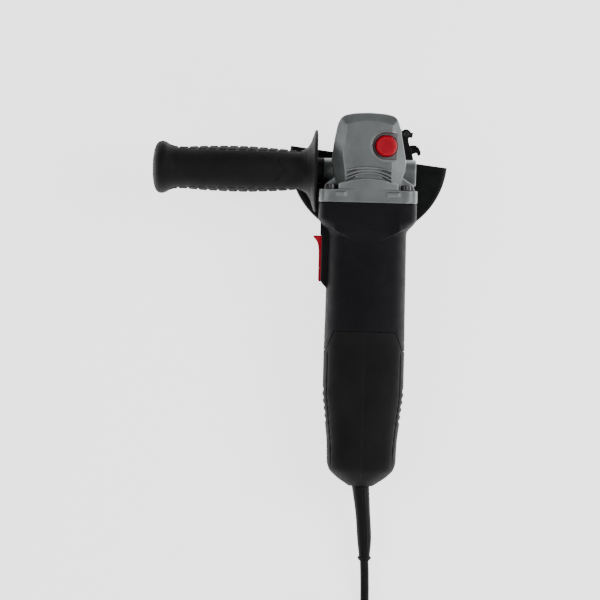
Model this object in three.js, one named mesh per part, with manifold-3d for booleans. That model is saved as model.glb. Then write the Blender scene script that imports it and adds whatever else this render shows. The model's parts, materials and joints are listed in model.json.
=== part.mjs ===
// A corded angle grinder for 115 mm wheels, without a wheel, lying on its guard's rim and its tail.
//
// The tool is drawn in its own frame. Its origin is where the spindle's axis meets the motor's axis,
// X points to the free handle socket, Y to the nose and Z away from the wheel. The finished tool is
// tilted nose up until rim and tail both touch the surface z = 0. The cord lies on that surface.

import * as THREE from "three";
import { mergeVertices } from "three/addons/utils/BufferGeometryUtils.js";
import Module from "manifold-3d";

const wasm = await Module();
wasm.setup();

// ---------------------------------------------------------------- driving dimensions, millimetres

const GAP = 0.3; // room left between pieces that touch
const WELD = 1e-4; // corners closer than this are one corner

const MODULE = 1.25; // tooth size of the gear pair
const CROWN_TEETH = 38;
const PINION_TEETH = 11;

const SPINDLE_RADIUS = 6;
const THREAD_RADIUS = 6.9; // M14
const SPINDLE_END = -62.5;
const SEAT = -52; // the plane that a wheel rests on
const FLANGE_RADIUS = 19.5;
const NECK_RADIUS = 21; // the collar that the guard is clamped to

const HEAD_HALF = 30;
const HEAD_TOP = 30;
const HEAD_BOTTOM = -24;
const HEAD_NOSE = 36;
const HEAD_FLAT = 18.6; // half-width of the flat top, between the 45 degree facets
const HEAD_BACK = -26; // front face of the rear flange
const JOINT_Y = -36; // where head and motor housing meet
const COVER_BOTTOM = -31;

const BUTTON = [13.4, 9.5];
const BUTTON_RADIUS = 8.6;
const BUTTON_TRAVEL = 4.5;

const SOCKET = [-11.3, -4]; // y and z of the side handle's axis
const SOCKET_RIGHT = 37.9;
const SOCKET_LEFT = -36;
const STUD_RADIUS = 3.95; // M8

const GUARD_RADIUS = 63.5;
const GUARD_TOP = -43;
const GUARD_RIM = -64;
const GUARD_SHEET = 1.6;
const GUARD_TURN = -6.7; // degrees

const COLLAR_HALF = 39.2;
const BORE = 28; // inside radius of the motor housing
const SHAFT_RADIUS = 4;
const SHAFT_BACK = -158;

const SWITCH_TRAVEL = 6;
const SLIDER_FRONT = -63;
const SLIDER_NECK = [-90, -75]; // Y of the part that reaches through the wall

const CORD_RADIUS = 3.5;
const BOOT_END = -321;
const BOOT_BEND = 4.5; // how far the boot's end leans to the right

// The resting pose: tilt in degrees, and where the tool's origin lies above the surface.
const TILT = 10.67;
const ORIGIN = [54.9, 137.3, 74.65];

// The cord's way from the boot's end to its coil, on the surface that the tool lies on.
const CORD_ROUTE = [
  [59.42, -178.5, 15.15],
  [59.95, -188, 13.3],
  [60.35, -199.5, 10.8],
  [60.6, -212, 7.7],
  [60.75, -225, 5.0],
  [60.8, -237, 3.75],
  [60.8, -244, 3.55],
];
const COIL = { centre: [15.8, -270], inner: 27.6, outer: 48.6, height: 21.2 };
const PLUG = { at: [-12.5, -315.2, 13.8], length: 44, pin: 19, spacing: 9.5 };

// ---------------------------------------------------------------- solids

const AXES = { x: new THREE.Vector3(1, 0, 0), y: new THREE.Vector3(0, 1, 0), z: new THREE.Vector3(0, 0, 1) };

// A closed geometry as a solid that can be joined and cut, with its faces pointing out.
function solid(geometry) {
  const source = geometry.index ? geometry.toNonIndexed() : geometry;
  const bare = new THREE.BufferGeometry();
  bare.setAttribute("position", source.getAttribute("position"));
  const merged = mergeVertices(bare, WELD);
  const corners = merged.index.array;
  const kept = [];
  for (let i = 0; i < corners.length; i += 3) {
    const [a, b, c] = [corners[i], corners[i + 1], corners[i + 2]];
    if (a !== b && b !== c && c !== a) kept.push([a, b, c]);
  }
  const build = (triangles) =>
    new wasm.Manifold(
      new wasm.Mesh({
        numProp: 3,
        vertProperties: new Float32Array(merged.attributes.position.array),
        triVerts: new Uint32Array(triangles.flat()),
      }),
    );
  const made = build(kept);
  return made.volume() > 0 ? made : build(kept.map(([a, b, c]) => [a, c, b]));
}

function geometryOf(made) {
  const { vertProperties, triVerts } = made.getMesh();
  const geometry = new THREE.BufferGeometry();
  geometry.setAttribute("position", new THREE.BufferAttribute(vertProperties, 3));
  geometry.setIndex(new THREE.BufferAttribute(triVerts, 1));
  geometry.computeVertexNormals();
  return geometry;
}

const join = (...solids) => solids.reduce((all, one) => all.add(one));
const cut = (body, ...tools) => tools.reduce((left, tool) => left.subtract(tool), body);

// The same faces with each corner moved to where place() says.
function shaped(geometry, place) {
  const at = geometry.getAttribute("position");
  for (let i = 0; i < at.count; i++) at.setXYZ(i, ...place(at.getX(i), at.getY(i), at.getZ(i)));
  return solid(geometry);
}

function block([x0, x1], [y0, y1], [z0, z1]) {
  const box = new THREE.BoxGeometry(x1 - x0, y1 - y0, z1 - z0);
  return solid(box.translate((x0 + x1) / 2, (y0 + y1) / 2, (z0 + z1) / 2));
}

// An outline of [u, v] points pushed along an axis. u and v are the other two axes, in x, y, z order.
const PRISM_TURN = {
  x: new THREE.Matrix4().makeBasis(AXES.y, AXES.z, AXES.x),
  y: new THREE.Matrix4().makeBasis(AXES.x, AXES.z, AXES.y),
  z: new THREE.Matrix4(),
};
function prism(outline, axis, [from, to]) {
  const shape = new THREE.Shape(outline.map(([u, v]) => new THREE.Vector2(u, v)));
  const pushed = new THREE.ExtrudeGeometry(shape, { depth: to - from, bevelEnabled: false });
  pushed.translate(0, 0, from);
  return solid(pushed.applyMatrix4(PRISM_TURN[axis]));
}

function circle(radius, [u, v] = [0, 0], count = 24, turn = 0) {
  return Array.from({ length: count }, (_, i) => {
    const angle = turn + (i * 2 * Math.PI) / count;
    return [u + radius * Math.cos(angle), v + radius * Math.sin(angle)];
  });
}

function roundedRectangle([u0, u1], [v0, v1], radius, steps = 4) {
  const corners = [
    [u1 - radius, v1 - radius],
    [u0 + radius, v1 - radius],
    [u0 + radius, v0 + radius],
    [u1 - radius, v0 + radius],
  ];
  return corners.flatMap(([u, v], quarter) =>
    Array.from({ length: steps + 1 }, (_, i) => {
      const angle = ((quarter + i / steps) * Math.PI) / 2;
      return [u + radius * Math.cos(angle), v + radius * Math.sin(angle)];
    }),
  );
}

const rod = (radius, axis, span, centre, count) => prism(circle(radius, centre, count), axis, span);

// A profile of [radius, along] points turned about an axis.
const LATHE_TURN = {
  x: new THREE.Matrix4().makeBasis(AXES.z, AXES.x, AXES.y),
  y: new THREE.Matrix4(),
  z: new THREE.Matrix4().makeBasis(AXES.y, AXES.z, AXES.x),
};
function turned(profile, axis, count = 32) {
  const points = profile.map(([radius, along]) => new THREE.Vector2(radius, along));
  return solid(new THREE.LatheGeometry(points, count).applyMatrix4(LATHE_TURN[axis]));
}

function ring([inner, outer], axis, [from, to], count = 32) {
  const profile = [[inner, from], [outer, from], [outer, to], [inner, to], [inner, from]];
  return turned(profile, axis, count);
}

// A body along Y through stations [y, half-width, top, bottom, squareness].
function loft(stations, count = 32) {
  const rows = stations.length - 1;
  const cylinder = new THREE.CylinderGeometry(1, 1, 2, count, rows);
  return shaped(cylinder, (x, y, z) => {
    const [along, half, top, bottom, squareness] = stations[Math.round(((1 - y) / 2) * rows)];
    const reach = Math.min(1, Math.hypot(x, z));
    const angle = Math.atan2(z, x);
    const bulge = (part) => (Math.abs(part) < 1e-6 ? 0 : Math.sign(part) * Math.abs(part) ** (2 / squareness));
    const rise = z > 0 ? top : -bottom;
    return [reach * half * bulge(Math.cos(angle)), along, reach * rise * bulge(Math.sin(angle))];
  });
}

// A wire coil about an axis parallel to Z, or to X when lying.
function spring(radius, wire, [from, to], turns, place) {
  const steps = turns * 8;
  const points = Array.from({ length: steps + 1 }, (_, i) => {
    const angle = (i / 8) * 2 * Math.PI;
    return place(radius * Math.cos(angle), radius * Math.sin(angle), from + ((to - from) * i) / steps);
  });
  const path = new THREE.CatmullRomCurve3(points.map((point) => new THREE.Vector3(...point)));
  const shape = new THREE.Shape(circle(wire, [0, 0], 4).map(([u, v]) => new THREE.Vector2(u, v)));
  return solid(new THREE.ExtrudeGeometry(shape, { steps, bevelEnabled: false, extrudePath: path }));
}

// A screw with a hexagon socket. It points from its head's top at `from` towards `to`.
function screw(axis, centre, { from, to, head, deep, shank }) {
  const way = Math.sign(to - from);
  const span = (a, b) => [Math.min(a, b), Math.max(a, b)];
  const seat = from + way * deep;
  return cut(
    join(
      prism(circle(head, centre, 12), axis, span(from, seat)),
      prism(circle(shank, centre, 8), axis, span(seat - way * deep * 0.3, to)),
    ),
    prism(circle(head * 0.5, centre, 6), axis, span(from - way, from + way * deep * 0.55)),
  );
}

const rotatedZ = (made, degrees) => made.rotate([0, 0, degrees]);

// ---------------------------------------------------------------- the gear pair

const CROWN_PITCH = (MODULE * CROWN_TEETH) / 2;
const CONE = PINION_TEETH / CROWN_TEETH; // the crown's pitch cone drops this much for each mm of radius
const TOOTH_TOP = (0.8 * MODULE) / CROWN_PITCH;
const TOOTH_FOOT = (1.1 * MODULE) / CROWN_PITCH;
const TOOTH_INNER = 19.5;
const TOOTH_OUTER = 24;
const TOOTH_SINK = 0.5; // how far a tooth's root reaches into its wheel

// Half of a tooth's width at its tip and root, as a share of the pitch, thin enough to leave backlash.
const TIP_SHARE = 0.1;
const ROOT_SHARE = 0.24;

function tooth(count, wheelRadius, place) {
  return shaped(new THREE.BoxGeometry(2, 2, 2), (x, y, z) => {
    const reach = x > 0 ? TOOTH_OUTER : TOOTH_INNER;
    const pitch = (2 * Math.PI * wheelRadius * (reach / CROWN_PITCH)) / count;
    const half = pitch * (z > 0 ? TIP_SHARE : ROOT_SHARE);
    return place(reach, y * half, z > 0);
  });
}

function crownGear() {
  const single = tooth(CROWN_TEETH, CROWN_PITCH, (reach, side, tip) => {
    const height = tip ? reach * (TOOTH_TOP - CONE) : -reach * (TOOTH_FOOT + CONE) - TOOTH_SINK;
    return [reach, side, height];
  });
  const pitch = 360 / CROWN_TEETH;
  const teeth = Array.from({ length: CROWN_TEETH }, (_, i) => rotatedZ(single, -90 + (i + 0.5) * pitch));
  const root = (reach) => -reach * (TOOTH_FOOT + CONE);
  const wheel = turned(
    [
      [SPINDLE_RADIUS + GAP, -15],
      [11, -15],
      [12, -13],
      [TOOTH_OUTER + 0.4, -13],
      [TOOTH_OUTER + 0.4, root(TOOTH_OUTER + 0.4)],
      [TOOTH_INNER - 0.4, root(TOOTH_INNER - 0.4)],
      [TOOTH_INNER - 0.9, -5],
      [9, -5],
      [9, 4],
      [SPINDLE_RADIUS + GAP, 4],
      [SPINDLE_RADIUS + GAP, -15],
    ],
    "z",
    CROWN_TEETH / 2,
  );
  const pinCircle = Math.hypot(...BUTTON);
  const pinAngle = Math.atan2(BUTTON[1], BUTTON[0]);
  const holes = circle(pinCircle, [0, 0], 4, pinAngle).map((at) => rod(2.9, "z", [-14, -4], at, 8));
  return cut(join(wheel, ...teeth), ...holes);
}

function pinion() {
  const single = tooth(PINION_TEETH, MODULE * PINION_TEETH * 0.5, (reach, side, tip) => {
    const radius = reach * (tip ? CONE + TOOTH_TOP : CONE - TOOTH_FOOT) - (tip ? 0 : TOOTH_SINK);
    return [side, -reach, -radius];
  });
  const pitch = 360 / PINION_TEETH;
  const teeth = Array.from({ length: PINION_TEETH }, (_, i) => single.rotate([0, i * pitch, 0]));
  const root = (reach) => reach * (CONE - TOOTH_FOOT);
  const wheel = turned(
    [
      [SHAFT_RADIUS + GAP, -TOOTH_INNER],
      [root(TOOTH_INNER), -TOOTH_INNER],
      [root(TOOTH_OUTER), -TOOTH_OUTER],
      [6.4, -TOOTH_OUTER - 1],
      [6.4, -26.9],
      [SHAFT_RADIUS + GAP, -26.9],
      [SHAFT_RADIUS + GAP, -TOOTH_INNER],
    ],
    "y",
    11,
  );
  return join(wheel, ...teeth);
}

// ---------------------------------------------------------------- gear head

const HEAD_PLAN = [
  [12, 35.3], [20, 33.6], [23.5, 31], [25.8, 26], [28, 14], [29.5, 2], [29.5, -4], [28, -12], [26, -18],
  [26, HEAD_BACK - 1],
];
const HEAD_PLAN_RIGHT = [
  [12, 35.2], [18.8, 33.8], [21.8, 31.5], [24, 26], [26.5, 14], [28.8, 2], [29.5, -4], [28, -12], [26, -18],
  [26, HEAD_BACK - 1],
];
const HEAD_SCREWS = [[29.8, 27], [-29.8, 27], [-30.4, -27], [30.4, -27]];
const COVER_SCREWS = [[21.5, 20.5], [-21.5, 20.5], [-21.5, -20.5], [21.5, -20.5]];
const LOUVRES = [-9, -12, -15]; // Y of each exhaust slot at its middle
const LOUVRE_ARC = 45;
const DOME_RADIUS = 160;
const DOME_TOP = 34.6;

function louvre(middle) {
  const centre = middle - LOUVRE_ARC;
  const spread = Math.asin((HEAD_FLAT - 1) / LOUVRE_ARC);
  const arc = (radius, way) =>
    Array.from({ length: 7 }, (_, i) => {
      const angle = way * spread * (i / 3 - 1);
      return [radius * Math.sin(angle), centre + radius * Math.cos(angle)];
    });
  return prism([...arc(LOUVRE_ARC, 1), ...arc(LOUVRE_ARC - 1.3, -1)], "z", [28.6, 40]);
}

function gearHousing() {
  const left = HEAD_PLAN.toReversed().map(([u, v]) => [-u, v]);
  const plan = prism([[0, HEAD_NOSE], ...HEAD_PLAN_RIGHT, ...left], "z", [HEAD_BOTTOM, HEAD_TOP]);
  const section = [
    [HEAD_HALF, HEAD_BOTTOM - 1], [HEAD_HALF, HEAD_FLAT], [HEAD_FLAT, HEAD_TOP + 0.01],
    [-HEAD_FLAT, HEAD_TOP + 0.01], [-HEAD_HALF, HEAD_FLAT], [-HEAD_HALF, HEAD_BOTTOM - 1],
  ];
  const side = [
    [-40, HEAD_BOTTOM - 1], [HEAD_NOSE + 1, HEAD_BOTTOM - 1], [HEAD_NOSE + 1, 22],
    [HEAD_NOSE - 0.8, 25], [29.3, HEAD_TOP + 0.01], [-40, HEAD_TOP + 0.01],
  ];
  const box = plan.intersect(prism(section, "y", [-40, 40])).intersect(prism(side, "x", [-40, 40]));
  const neckPlan = [
    [-24, -21.4], [-16, -18.9], [-8, -17.4], [0, -16.9], [8, -17.4], [16, -18.9], [24, -21.4], [24, -30], [-24, -30],
  ];
  const dome = rod(DOME_RADIUS, "y", [-40, 0], [0, DOME_TOP - DOME_RADIUS], 200);
  const neck = prism(neckPlan, "z", [20, 40]).intersect(dome);
  const flangeOutline = roundedRectangle([-COLLAR_HALF, COLLAR_HALF], [-34, 34.5], 9);
  const flange = prism(flangeOutline, "y", [JOINT_Y, HEAD_BACK]);
  const sockets = [
    rod(10.5, "x", [18, SOCKET_RIGHT], SOCKET, 20),
    rod(10.5, "x", [SOCKET_LEFT, -18], SOCKET, 20),
  ];
  const web = [[22, -12.5], [35.8, -21.5], [37.5, HEAD_BACK - 1], [22, HEAD_BACK - 1]];
  const webs = [web, web.map(([u, v]) => [-u * 0.96, v])].map((outline) => prism(outline, "z", [-20, 20]));
  const tabs = [[-26, -18], [15, 25]].map((span) => block(span, [-31, -28], [33, 35.6]));

  const cavity = turned([[0, 25], [15, 25], [26, 14], [26, HEAD_BOTTOM - 1], [0, HEAD_BOTTOM - 1]], "z", 28);
  const bushBoss = rod(12, "z", [5, 26], [0, 0], 16);
  const pinBoss = rod(11.2, "z", [10, 26], BUTTON, 16);
  const bearingSeat = turned([[0, JOINT_Y - 1], [11.3, JOINT_Y - 1], [11.3, -27.2], [8.8, -27.2], [8.8, -18], [0, -18]], "y", 24);
  const duct = [...circle(29.1, [0, 0], 40).slice(6, 15), ...circle(27, [0, 0], 40).slice(6, 15).toReversed()];

  const shell = join(box, neck, flange, ...sockets, ...webs, ...tabs);
  const hollow = cut(cavity, bushBoss, pinBoss);
  return cut(
    shell,
    hollow,
    bearingSeat,
    prism(duct, "y", [JOINT_Y - 1, -8]),
    ...LOUVRES.map(louvre),
    rod(8.3, "z", [4, 14.5], [0, 0], 20),
    rod(11, "z", [26, 34], BUTTON, 24),
    block([BUTTON[0], 32], [BUTTON[1] - 10.5, BUTTON[1] + 10.5], [26, 34]),
    rod(BUTTON_RADIUS + 0.4, "z", [19.4, 30], BUTTON, 24),
    rod(2.6, "z", [8, 22], BUTTON, 8),
    rod(STUD_RADIUS + 0.35, "x", [26, SOCKET_RIGHT + 1], SOCKET, 12),
    rod(STUD_RADIUS + 0.35, "x", [SOCKET_LEFT - 1, -25.1], SOCKET, 12),
    ...HEAD_SCREWS.map((at) => rod(2.5, "y", [JOINT_Y - 1, HEAD_BACK + 1], at, 8)),
    ...HEAD_SCREWS.map((at) => rod(4.6, "y", [HEAD_BACK, -16], at, 12)),
    ...COVER_SCREWS.map((at) => rod(2.3, "z", [HEAD_BOTTOM - 1, -12], at, 8)),
  );
}

function bearingCover() {
  const plate = prism(roundedRectangle([-26, 26], [-25.6, 26], 6), "z", [COVER_BOTTOM, HEAD_BOTTOM - GAP]);
  const cup = ring([16.3, 19], "z", [HEAD_BOTTOM - GAP - 1, -17], 28);
  const neck = rod(NECK_RADIUS, "z", [GUARD_TOP + 0.1, COVER_BOTTOM + 1], [0, 0], 32);
  const inside = turned([[0, -16], [16.3, -16], [16.3, -28.8], [13, -28.8], [13, GUARD_TOP], [0, GUARD_TOP]], "z", 28);
  return cut(
    join(plate, cup, neck),
    inside,
    ...COVER_SCREWS.map((at) => rod(2.3, "z", [COVER_BOTTOM - 1, HEAD_BOTTOM], at, 8)),
    ...COVER_SCREWS.map((at) => rod(4, "z", [COVER_BOTTOM - 1, COVER_BOTTOM + 3.2], at, 12)),
  );
}

const coverScrew = (at) => screw("z", at, { from: COVER_BOTTOM + 0.2, to: -13, head: 3.6, deep: 2.7, shank: 2 });
const headScrew = (at) => screw("y", at, { from: -21.6, to: -44, head: 4, deep: 4.1, shank: 2.2 });

// ---------------------------------------------------------------- spindle lock

const WELL_FLOOR = 19.4;

function lockButton() {
  const foot = WELL_FLOOR + BUTTON_TRAVEL + GAP;
  const cap = turned(
    [
      [0, 32.2], [6.6, 32.2], [7.8, 31.9], [BUTTON_RADIUS, 30.9], [BUTTON_RADIUS, foot],
      [6.5, foot], [6.5, 29.5], [0, 29.5],
    ],
    "z",
    28,
  );
  return cap.translate([...BUTTON, 0]);
}

const lockPin = () => rod(2.3, "z", [-4, 29.5 - GAP], BUTTON, 12);
const lockSpring = () =>
  spring(3.6, 0.4, [WELL_FLOOR + 0.8, 28.7], 4, (u, v, w) => [BUTTON[0] + u, BUTTON[1] + v, w]);

// ---------------------------------------------------------------- spindle and wheel clamp

function spindle() {
  return turned(
    [
      [0, 13.5], [SPINDLE_RADIUS - 0.8, 13.5], [SPINDLE_RADIUS, 12.7], [SPINDLE_RADIUS, -28.9],
      [9, -28.9], [9, -46 + GAP], [THREAD_RADIUS, -46 + GAP], [THREAD_RADIUS, SPINDLE_END + 1],
      [THREAD_RADIUS - 1, SPINDLE_END], [0, SPINDLE_END],
    ],
    "z",
    20,
  );
}

function innerFlange() {
  const bore = THREAD_RADIUS + GAP;
  return turned(
    [
      [bore, -46], [12, -46], [13, -48], [FLANGE_RADIUS - 0.5, -48], [FLANGE_RADIUS, -48.5],
      [FLANGE_RADIUS, SEAT], [11.1, SEAT], [11.1, SEAT - 2], [bore, SEAT - 2], [bore, -46],
    ],
    "z",
    32,
  );
}

const NUT_TOP = SEAT - 2 - GAP;

function clampNut() {
  const bore = THREAD_RADIUS + GAP;
  const body = turned(
    [
      [bore, NUT_TOP], [FLANGE_RADIUS, NUT_TOP], [FLANGE_RADIUS, NUT_TOP - 4.2], [FLANGE_RADIUS - 1, NUT_TOP - 5.2],
      [13, NUT_TOP - 5.2], [12, NUT_TOP - 6.7], [bore, NUT_TOP - 6.7], [bore, NUT_TOP],
    ],
    "z",
    32,
  );
  const holes = circle(15.5, [0, 0], 4, Math.PI / 4).map((at) => rod(2.5, "z", [NUT_TOP - 8, NUT_TOP + 1], at, 8));
  return cut(body, ...holes);
}

// A ball bearing drawn as one ring, with a shallow groove between its races on one side.
function bearing([bore, outer], axis, [from, to]) {
  const third = (outer - bore) / 3;
  const groove = [bore + third, outer - third];
  return turned(
    [
      [bore, from], [outer, from], [outer, to], [groove[1], to], [groove[1], to - 0.6], [groove[0], to - 0.6],
      [groove[0], to], [bore, to], [bore, from],
    ],
    axis,
    20,
  );
}

// ---------------------------------------------------------------- motor

const CORE = [-118, -72];
const SLOTS = 12;
const slotAt = (radius, width, depth) => (i) =>
  block([-width / 2, width / 2], [CORE[0] - 1, CORE[1] + 1], [radius - depth, radius + 1]).rotate([0, (i * 360) / SLOTS, 0]);

function armatureCore() {
  const slots = Array.from({ length: SLOTS }, (_, i) => slotAt(17, 3.4, 6)(i));
  return cut(ring([SHAFT_RADIUS + GAP, 17], "y", CORE, 36), ...slots);
}

function armatureWinding() {
  const head = (span) => ring([SHAFT_RADIUS + 1.5, 15.2], "y", span, 24);
  const bars = Array.from({ length: SLOTS }, (_, i) =>
    block([-1.4, 1.4], [CORE[0] - 1, CORE[1] + 1], [11.3, 14.8]).rotate([0, (i * 360) / SLOTS, 0]),
  );
  return join(head([CORE[0] - 8, CORE[0] - GAP]), head([CORE[1] + GAP, CORE[1] + 7.5]), ...bars);
}

const COMMUTATOR = [-144, -130];
const BRUSH_Y = -137;

function commutator() {
  const bars = Array.from({ length: SLOTS }, (_, i) =>
    block([-0.3, 0.3], [COMMUTATOR[0] - 1, COMMUTATOR[1] - 3], [10.2, 12]).rotate([0, (i * 360) / SLOTS, 0]),
  );
  const body = turned(
    [
      [SHAFT_RADIUS + GAP, COMMUTATOR[0]], [11, COMMUTATOR[0]], [11, COMMUTATOR[1] - 2.5], [12.4, COMMUTATOR[1] - 2],
      [12.4, COMMUTATOR[1]], [SHAFT_RADIUS + GAP, COMMUTATOR[1]], [SHAFT_RADIUS + GAP, COMMUTATOR[0]],
    ],
    "y",
    24,
  );
  return cut(body, ...bars);
}

function armatureShaft() {
  return turned(
    [[0, -18], [SHAFT_RADIUS - 0.6, -18], [SHAFT_RADIUS, -18.6], [SHAFT_RADIUS, SHAFT_BACK], [0, SHAFT_BACK]],
    "y",
    16,
  );
}

function fan() {
  const disc = turned(
    [
      [SHAFT_RADIUS + GAP, -58], [26.5, -58], [26.5, -56.4], [9, -55], [8, -47], [SHAFT_RADIUS + GAP, -47],
      [SHAFT_RADIUS + GAP, -58],
    ],
    "y",
    30,
  );
  const blades = Array.from({ length: 9 }, (_, i) =>
    block([-0.8, 0.8], [-57, -48.5], [7, 26]).rotate([0, i * 40, 0]),
  );
  return join(disc, ...blades);
}

function bearingBracket() {
  const hub = turned(
    [
      [5, SHAFT_BACK], [5, SHAFT_BACK + 0.7], [9.8, SHAFT_BACK + 0.7], [9.8, SHAFT_BACK + 8],
      [12.5, SHAFT_BACK + 8], [12.5, SHAFT_BACK + 3], [25.4, SHAFT_BACK + 3], [25.4, SHAFT_BACK + 7],
      [BORE - GAP, SHAFT_BACK + 7], [BORE - GAP, SHAFT_BACK], [5, SHAFT_BACK],
    ],
    "y",
    24,
  );
  const windows = circle(19, [0, 0], 4, 0.5).map((at) => rod(4.6, "y", [SHAFT_BACK - 1, SHAFT_BACK + 5], at, 8));
  return cut(hub, ...windows);
}

const sided = (side, made) => (side > 0 ? made : made.mirror([1, 0, 0]));

function brush(side) {
  return sided(side, block([11.4, 20], [BRUSH_Y - 2.6, BRUSH_Y + 2.6], [-4.1, 4.1]));
}

function brushHolder(side) {
  const tube = cut(
    block([13, 27], [BRUSH_Y - 4, BRUSH_Y + 4], [-5.4, 5.4]),
    block([12, 26.2], [BRUSH_Y - 2.9, BRUSH_Y + 2.9], [-4.4, 4.4]),
  );
  return sided(side, tube);
}

function brushSpring(side) {
  return sided(side, spring(1.9, 0.35, [20.8, 25.5], 3, (u, v, w) => [w, BRUSH_Y + u, v]));
}

// ---------------------------------------------------------------- housings

const BODY = [
  [-50, 31.4, 31.5, -32.5, 2.8], [-100, 31.8, 32, -33, 2.8], [-130, 32, 32, -33, 2.8], [-154, 32.4, 32, -33, 2.8],
  [-190, 32.4, 31.4, -33, 2.8], [-202, 31, 30.6, -32.7, 2.7], [-214, 29.6, 29.6, -32.2, 2.7],
  [-226, 28.2, 28.6, -31.4, 2.7], [-244, 27.6, 27.4, -30, 2.7], [-250, 25.8, 25.8, -28.4, 2.6],
  [-256, 19.4, 20, -22.2, 2.4], [-260.5, 12.5, 13, -14, 2.2], [-262.5, 9.5, 9.5, -9.5, 2],
];
const WALL = 2.4;
const VENTS = [-186, -192, -198, -204, -210];
const REAR_SCREWS = [[-176, -19], [-236, -15]];
const SEAM = { front: -139, flat: 24, back: -154, side: 30.2 };

// The plan of the seam between motor housing and rear covers, moved back by some clearance.
function seam(back) {
  return [
    [60, SEAM.back - back], [SEAM.side - back * 0.7, SEAM.back - back], [SEAM.flat - back * 0.7, SEAM.front - back],
    [-SEAM.flat + back * 0.7, SEAM.front - back], [-SEAM.side + back * 0.7, SEAM.back - back], [-60, SEAM.back - back],
  ];
}

const SLIDER_SEAT = -35.9;
const CHANNEL = [-30.1, -27]; // the way of the switch rod, in X

function motorHousing() {
  const barrel = loft(BODY, 28).intersect(prism([[60, JOINT_Y], ...seam(0), [-60, JOINT_Y]], "z", [-50, 50]));
  const collar = loft(
    [
      [JOINT_Y - GAP, COLLAR_HALF, 34.5, -34, 6], [-50, COLLAR_HALF, 34.8, -34.4, 6], [-54, 36, 34, -34, 5],
      [-58, 32, 33, -33.4, 3.4], [-64, 31, 31, -32, 2.8],
    ],
    32,
  );
  const shieldPlan = [
    [-COLLAR_HALF, -45], [-COLLAR_HALF + 0.5, -51.5], [-20.4, -61.8], [-10, -67], [10, -67], [20.4, -61.8],
    [COLLAR_HALF - 0.5, -51.5], [COLLAR_HALF, -45],
  ];
  const shieldSection = [[-34, 24], [-26, 34.4], [26, 34.4], [34, 24], [34, -24], [26, -34.2], [-26, -34.2], [-34, -24]];
  const shield = prism(shieldPlan, "z", [-36, 36]).intersect(prism(shieldSection, "y", [-70, -40]));
  const bulge = prism([[-25, -46], [SLIDER_SEAT, -46], [SLIDER_SEAT, -100], [-31.4, -105], [-25, -105]], "z", [-13, 13]);
  const guides = [[-13, -8.6], [8.6, 13]].map((span) => block([-37.4, -30], [-62.5, -46], span));
  return cut(
    join(barrel, collar, shield, bulge, ...guides),
    rod(BORE, "y", [-156, JOINT_Y + 1], [0, 0], 36),
    block(CHANNEL, [-155, -66], [-3.4, 3.4]),
    block([-38, -26], [SLIDER_NECK[0] - GAP, SLIDER_NECK[1] + SWITCH_TRAVEL + GAP], [-3.4, 3.4]),
    ...HEAD_SCREWS.map((at) => rod(2.5, "y", [-45, JOINT_Y + 1], at, 8)),
  );
}

function rearCover(side) {
  const outside = loft(BODY, 28);
  const inset = BODY.map(([y, half, top, bottom, n]) => [y, half - WALL, top - WALL, bottom + WALL, n]);
  const inside = loft([...inset.slice(2, -3), [-252, 21.5, 21.5, -24, 2.4], [-257.5, 13.5, 13.5, -15, 2.2]], 20);
  const half = side > 0 ? [GAP / 2, 60] : [-60, -GAP / 2];
  const zone = prism([...seam(GAP), [-60, -270], [60, -270]], "z", [-50, 50]);
  const bosses = REAR_SCREWS.map((at) => rod(4, "x", [-60, 60], at, 8).intersect(outside));
  const vents = VENTS.map((y) => block([side * 45, side * 22].sort((a, b) => a - b), [y - 1.3, y + 1.3], [-11, 11]));
  const shell = join(cut(outside, inside), ...bosses).intersect(zone);
  return cut(
    shell.intersect(block(half, [-270, -130], [-50, 50])),
    ...vents,
    rod(7.4, "y", [-265, -250], [0, 0], 24),
    ...REAR_SCREWS.map((at) => rod(1.9, "x", [-12, 30], at, 8)),
    ...REAR_SCREWS.map((at) => rod(3.7, "x", [19.7, 60], at, 12)),
  );
}

const rearScrew = (at) => screw("x", at, { from: 23.6, to: -11, head: 3.3, deep: 3.5, shank: 1.6 });

// ---------------------------------------------------------------- switch

function switchSlider() {
  const sole = SLIDER_SEAT - GAP;
  const outline = [
    [sole, SLIDER_FRONT], [-43, SLIDER_FRONT], [-42.6, -64.6], [-40.2, -67], [-38.9, -70.5], [-38.3, -76], [-38.3, -98.5],
    [-37.6, -99.9], [sole, -99.9],
  ];
  const neck = block([sole - 0.5, CHANNEL[0] + GAP - 0.1], SLIDER_NECK, [-3, 3]);
  return join(prism(outline, "z", [-8, 8]), neck);
}

function switchRod() {
  const bar = block([-29.6, -28.4], [-192, -74], [-3, 3]);
  const arm = block([-29.6, -8], [-192, -188], [-3, 3]);
  return join(bar, arm);
}

function switchBlock() {
  const body = block([-12, 12], [-225, -195], [-10, 10]);
  const nose = block([-6, 6], [-196, -193], [-4, 4]);
  return join(body, nose);
}

// ---------------------------------------------------------------- guard

const LEVER_AXIS = [29.5, 20.5];
const BOLT_Z = -37.3;
const BOLT_LEAN = -10; // degrees from the X axis
const EYE = new THREE.Vector2(...LEVER_AXIS)
  .rotateAround(new THREE.Vector2(), THREE.MathUtils.degToRad(-BOLT_LEAN))
  .toArray(); // the bolt's eye, before the bolt leans

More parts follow.
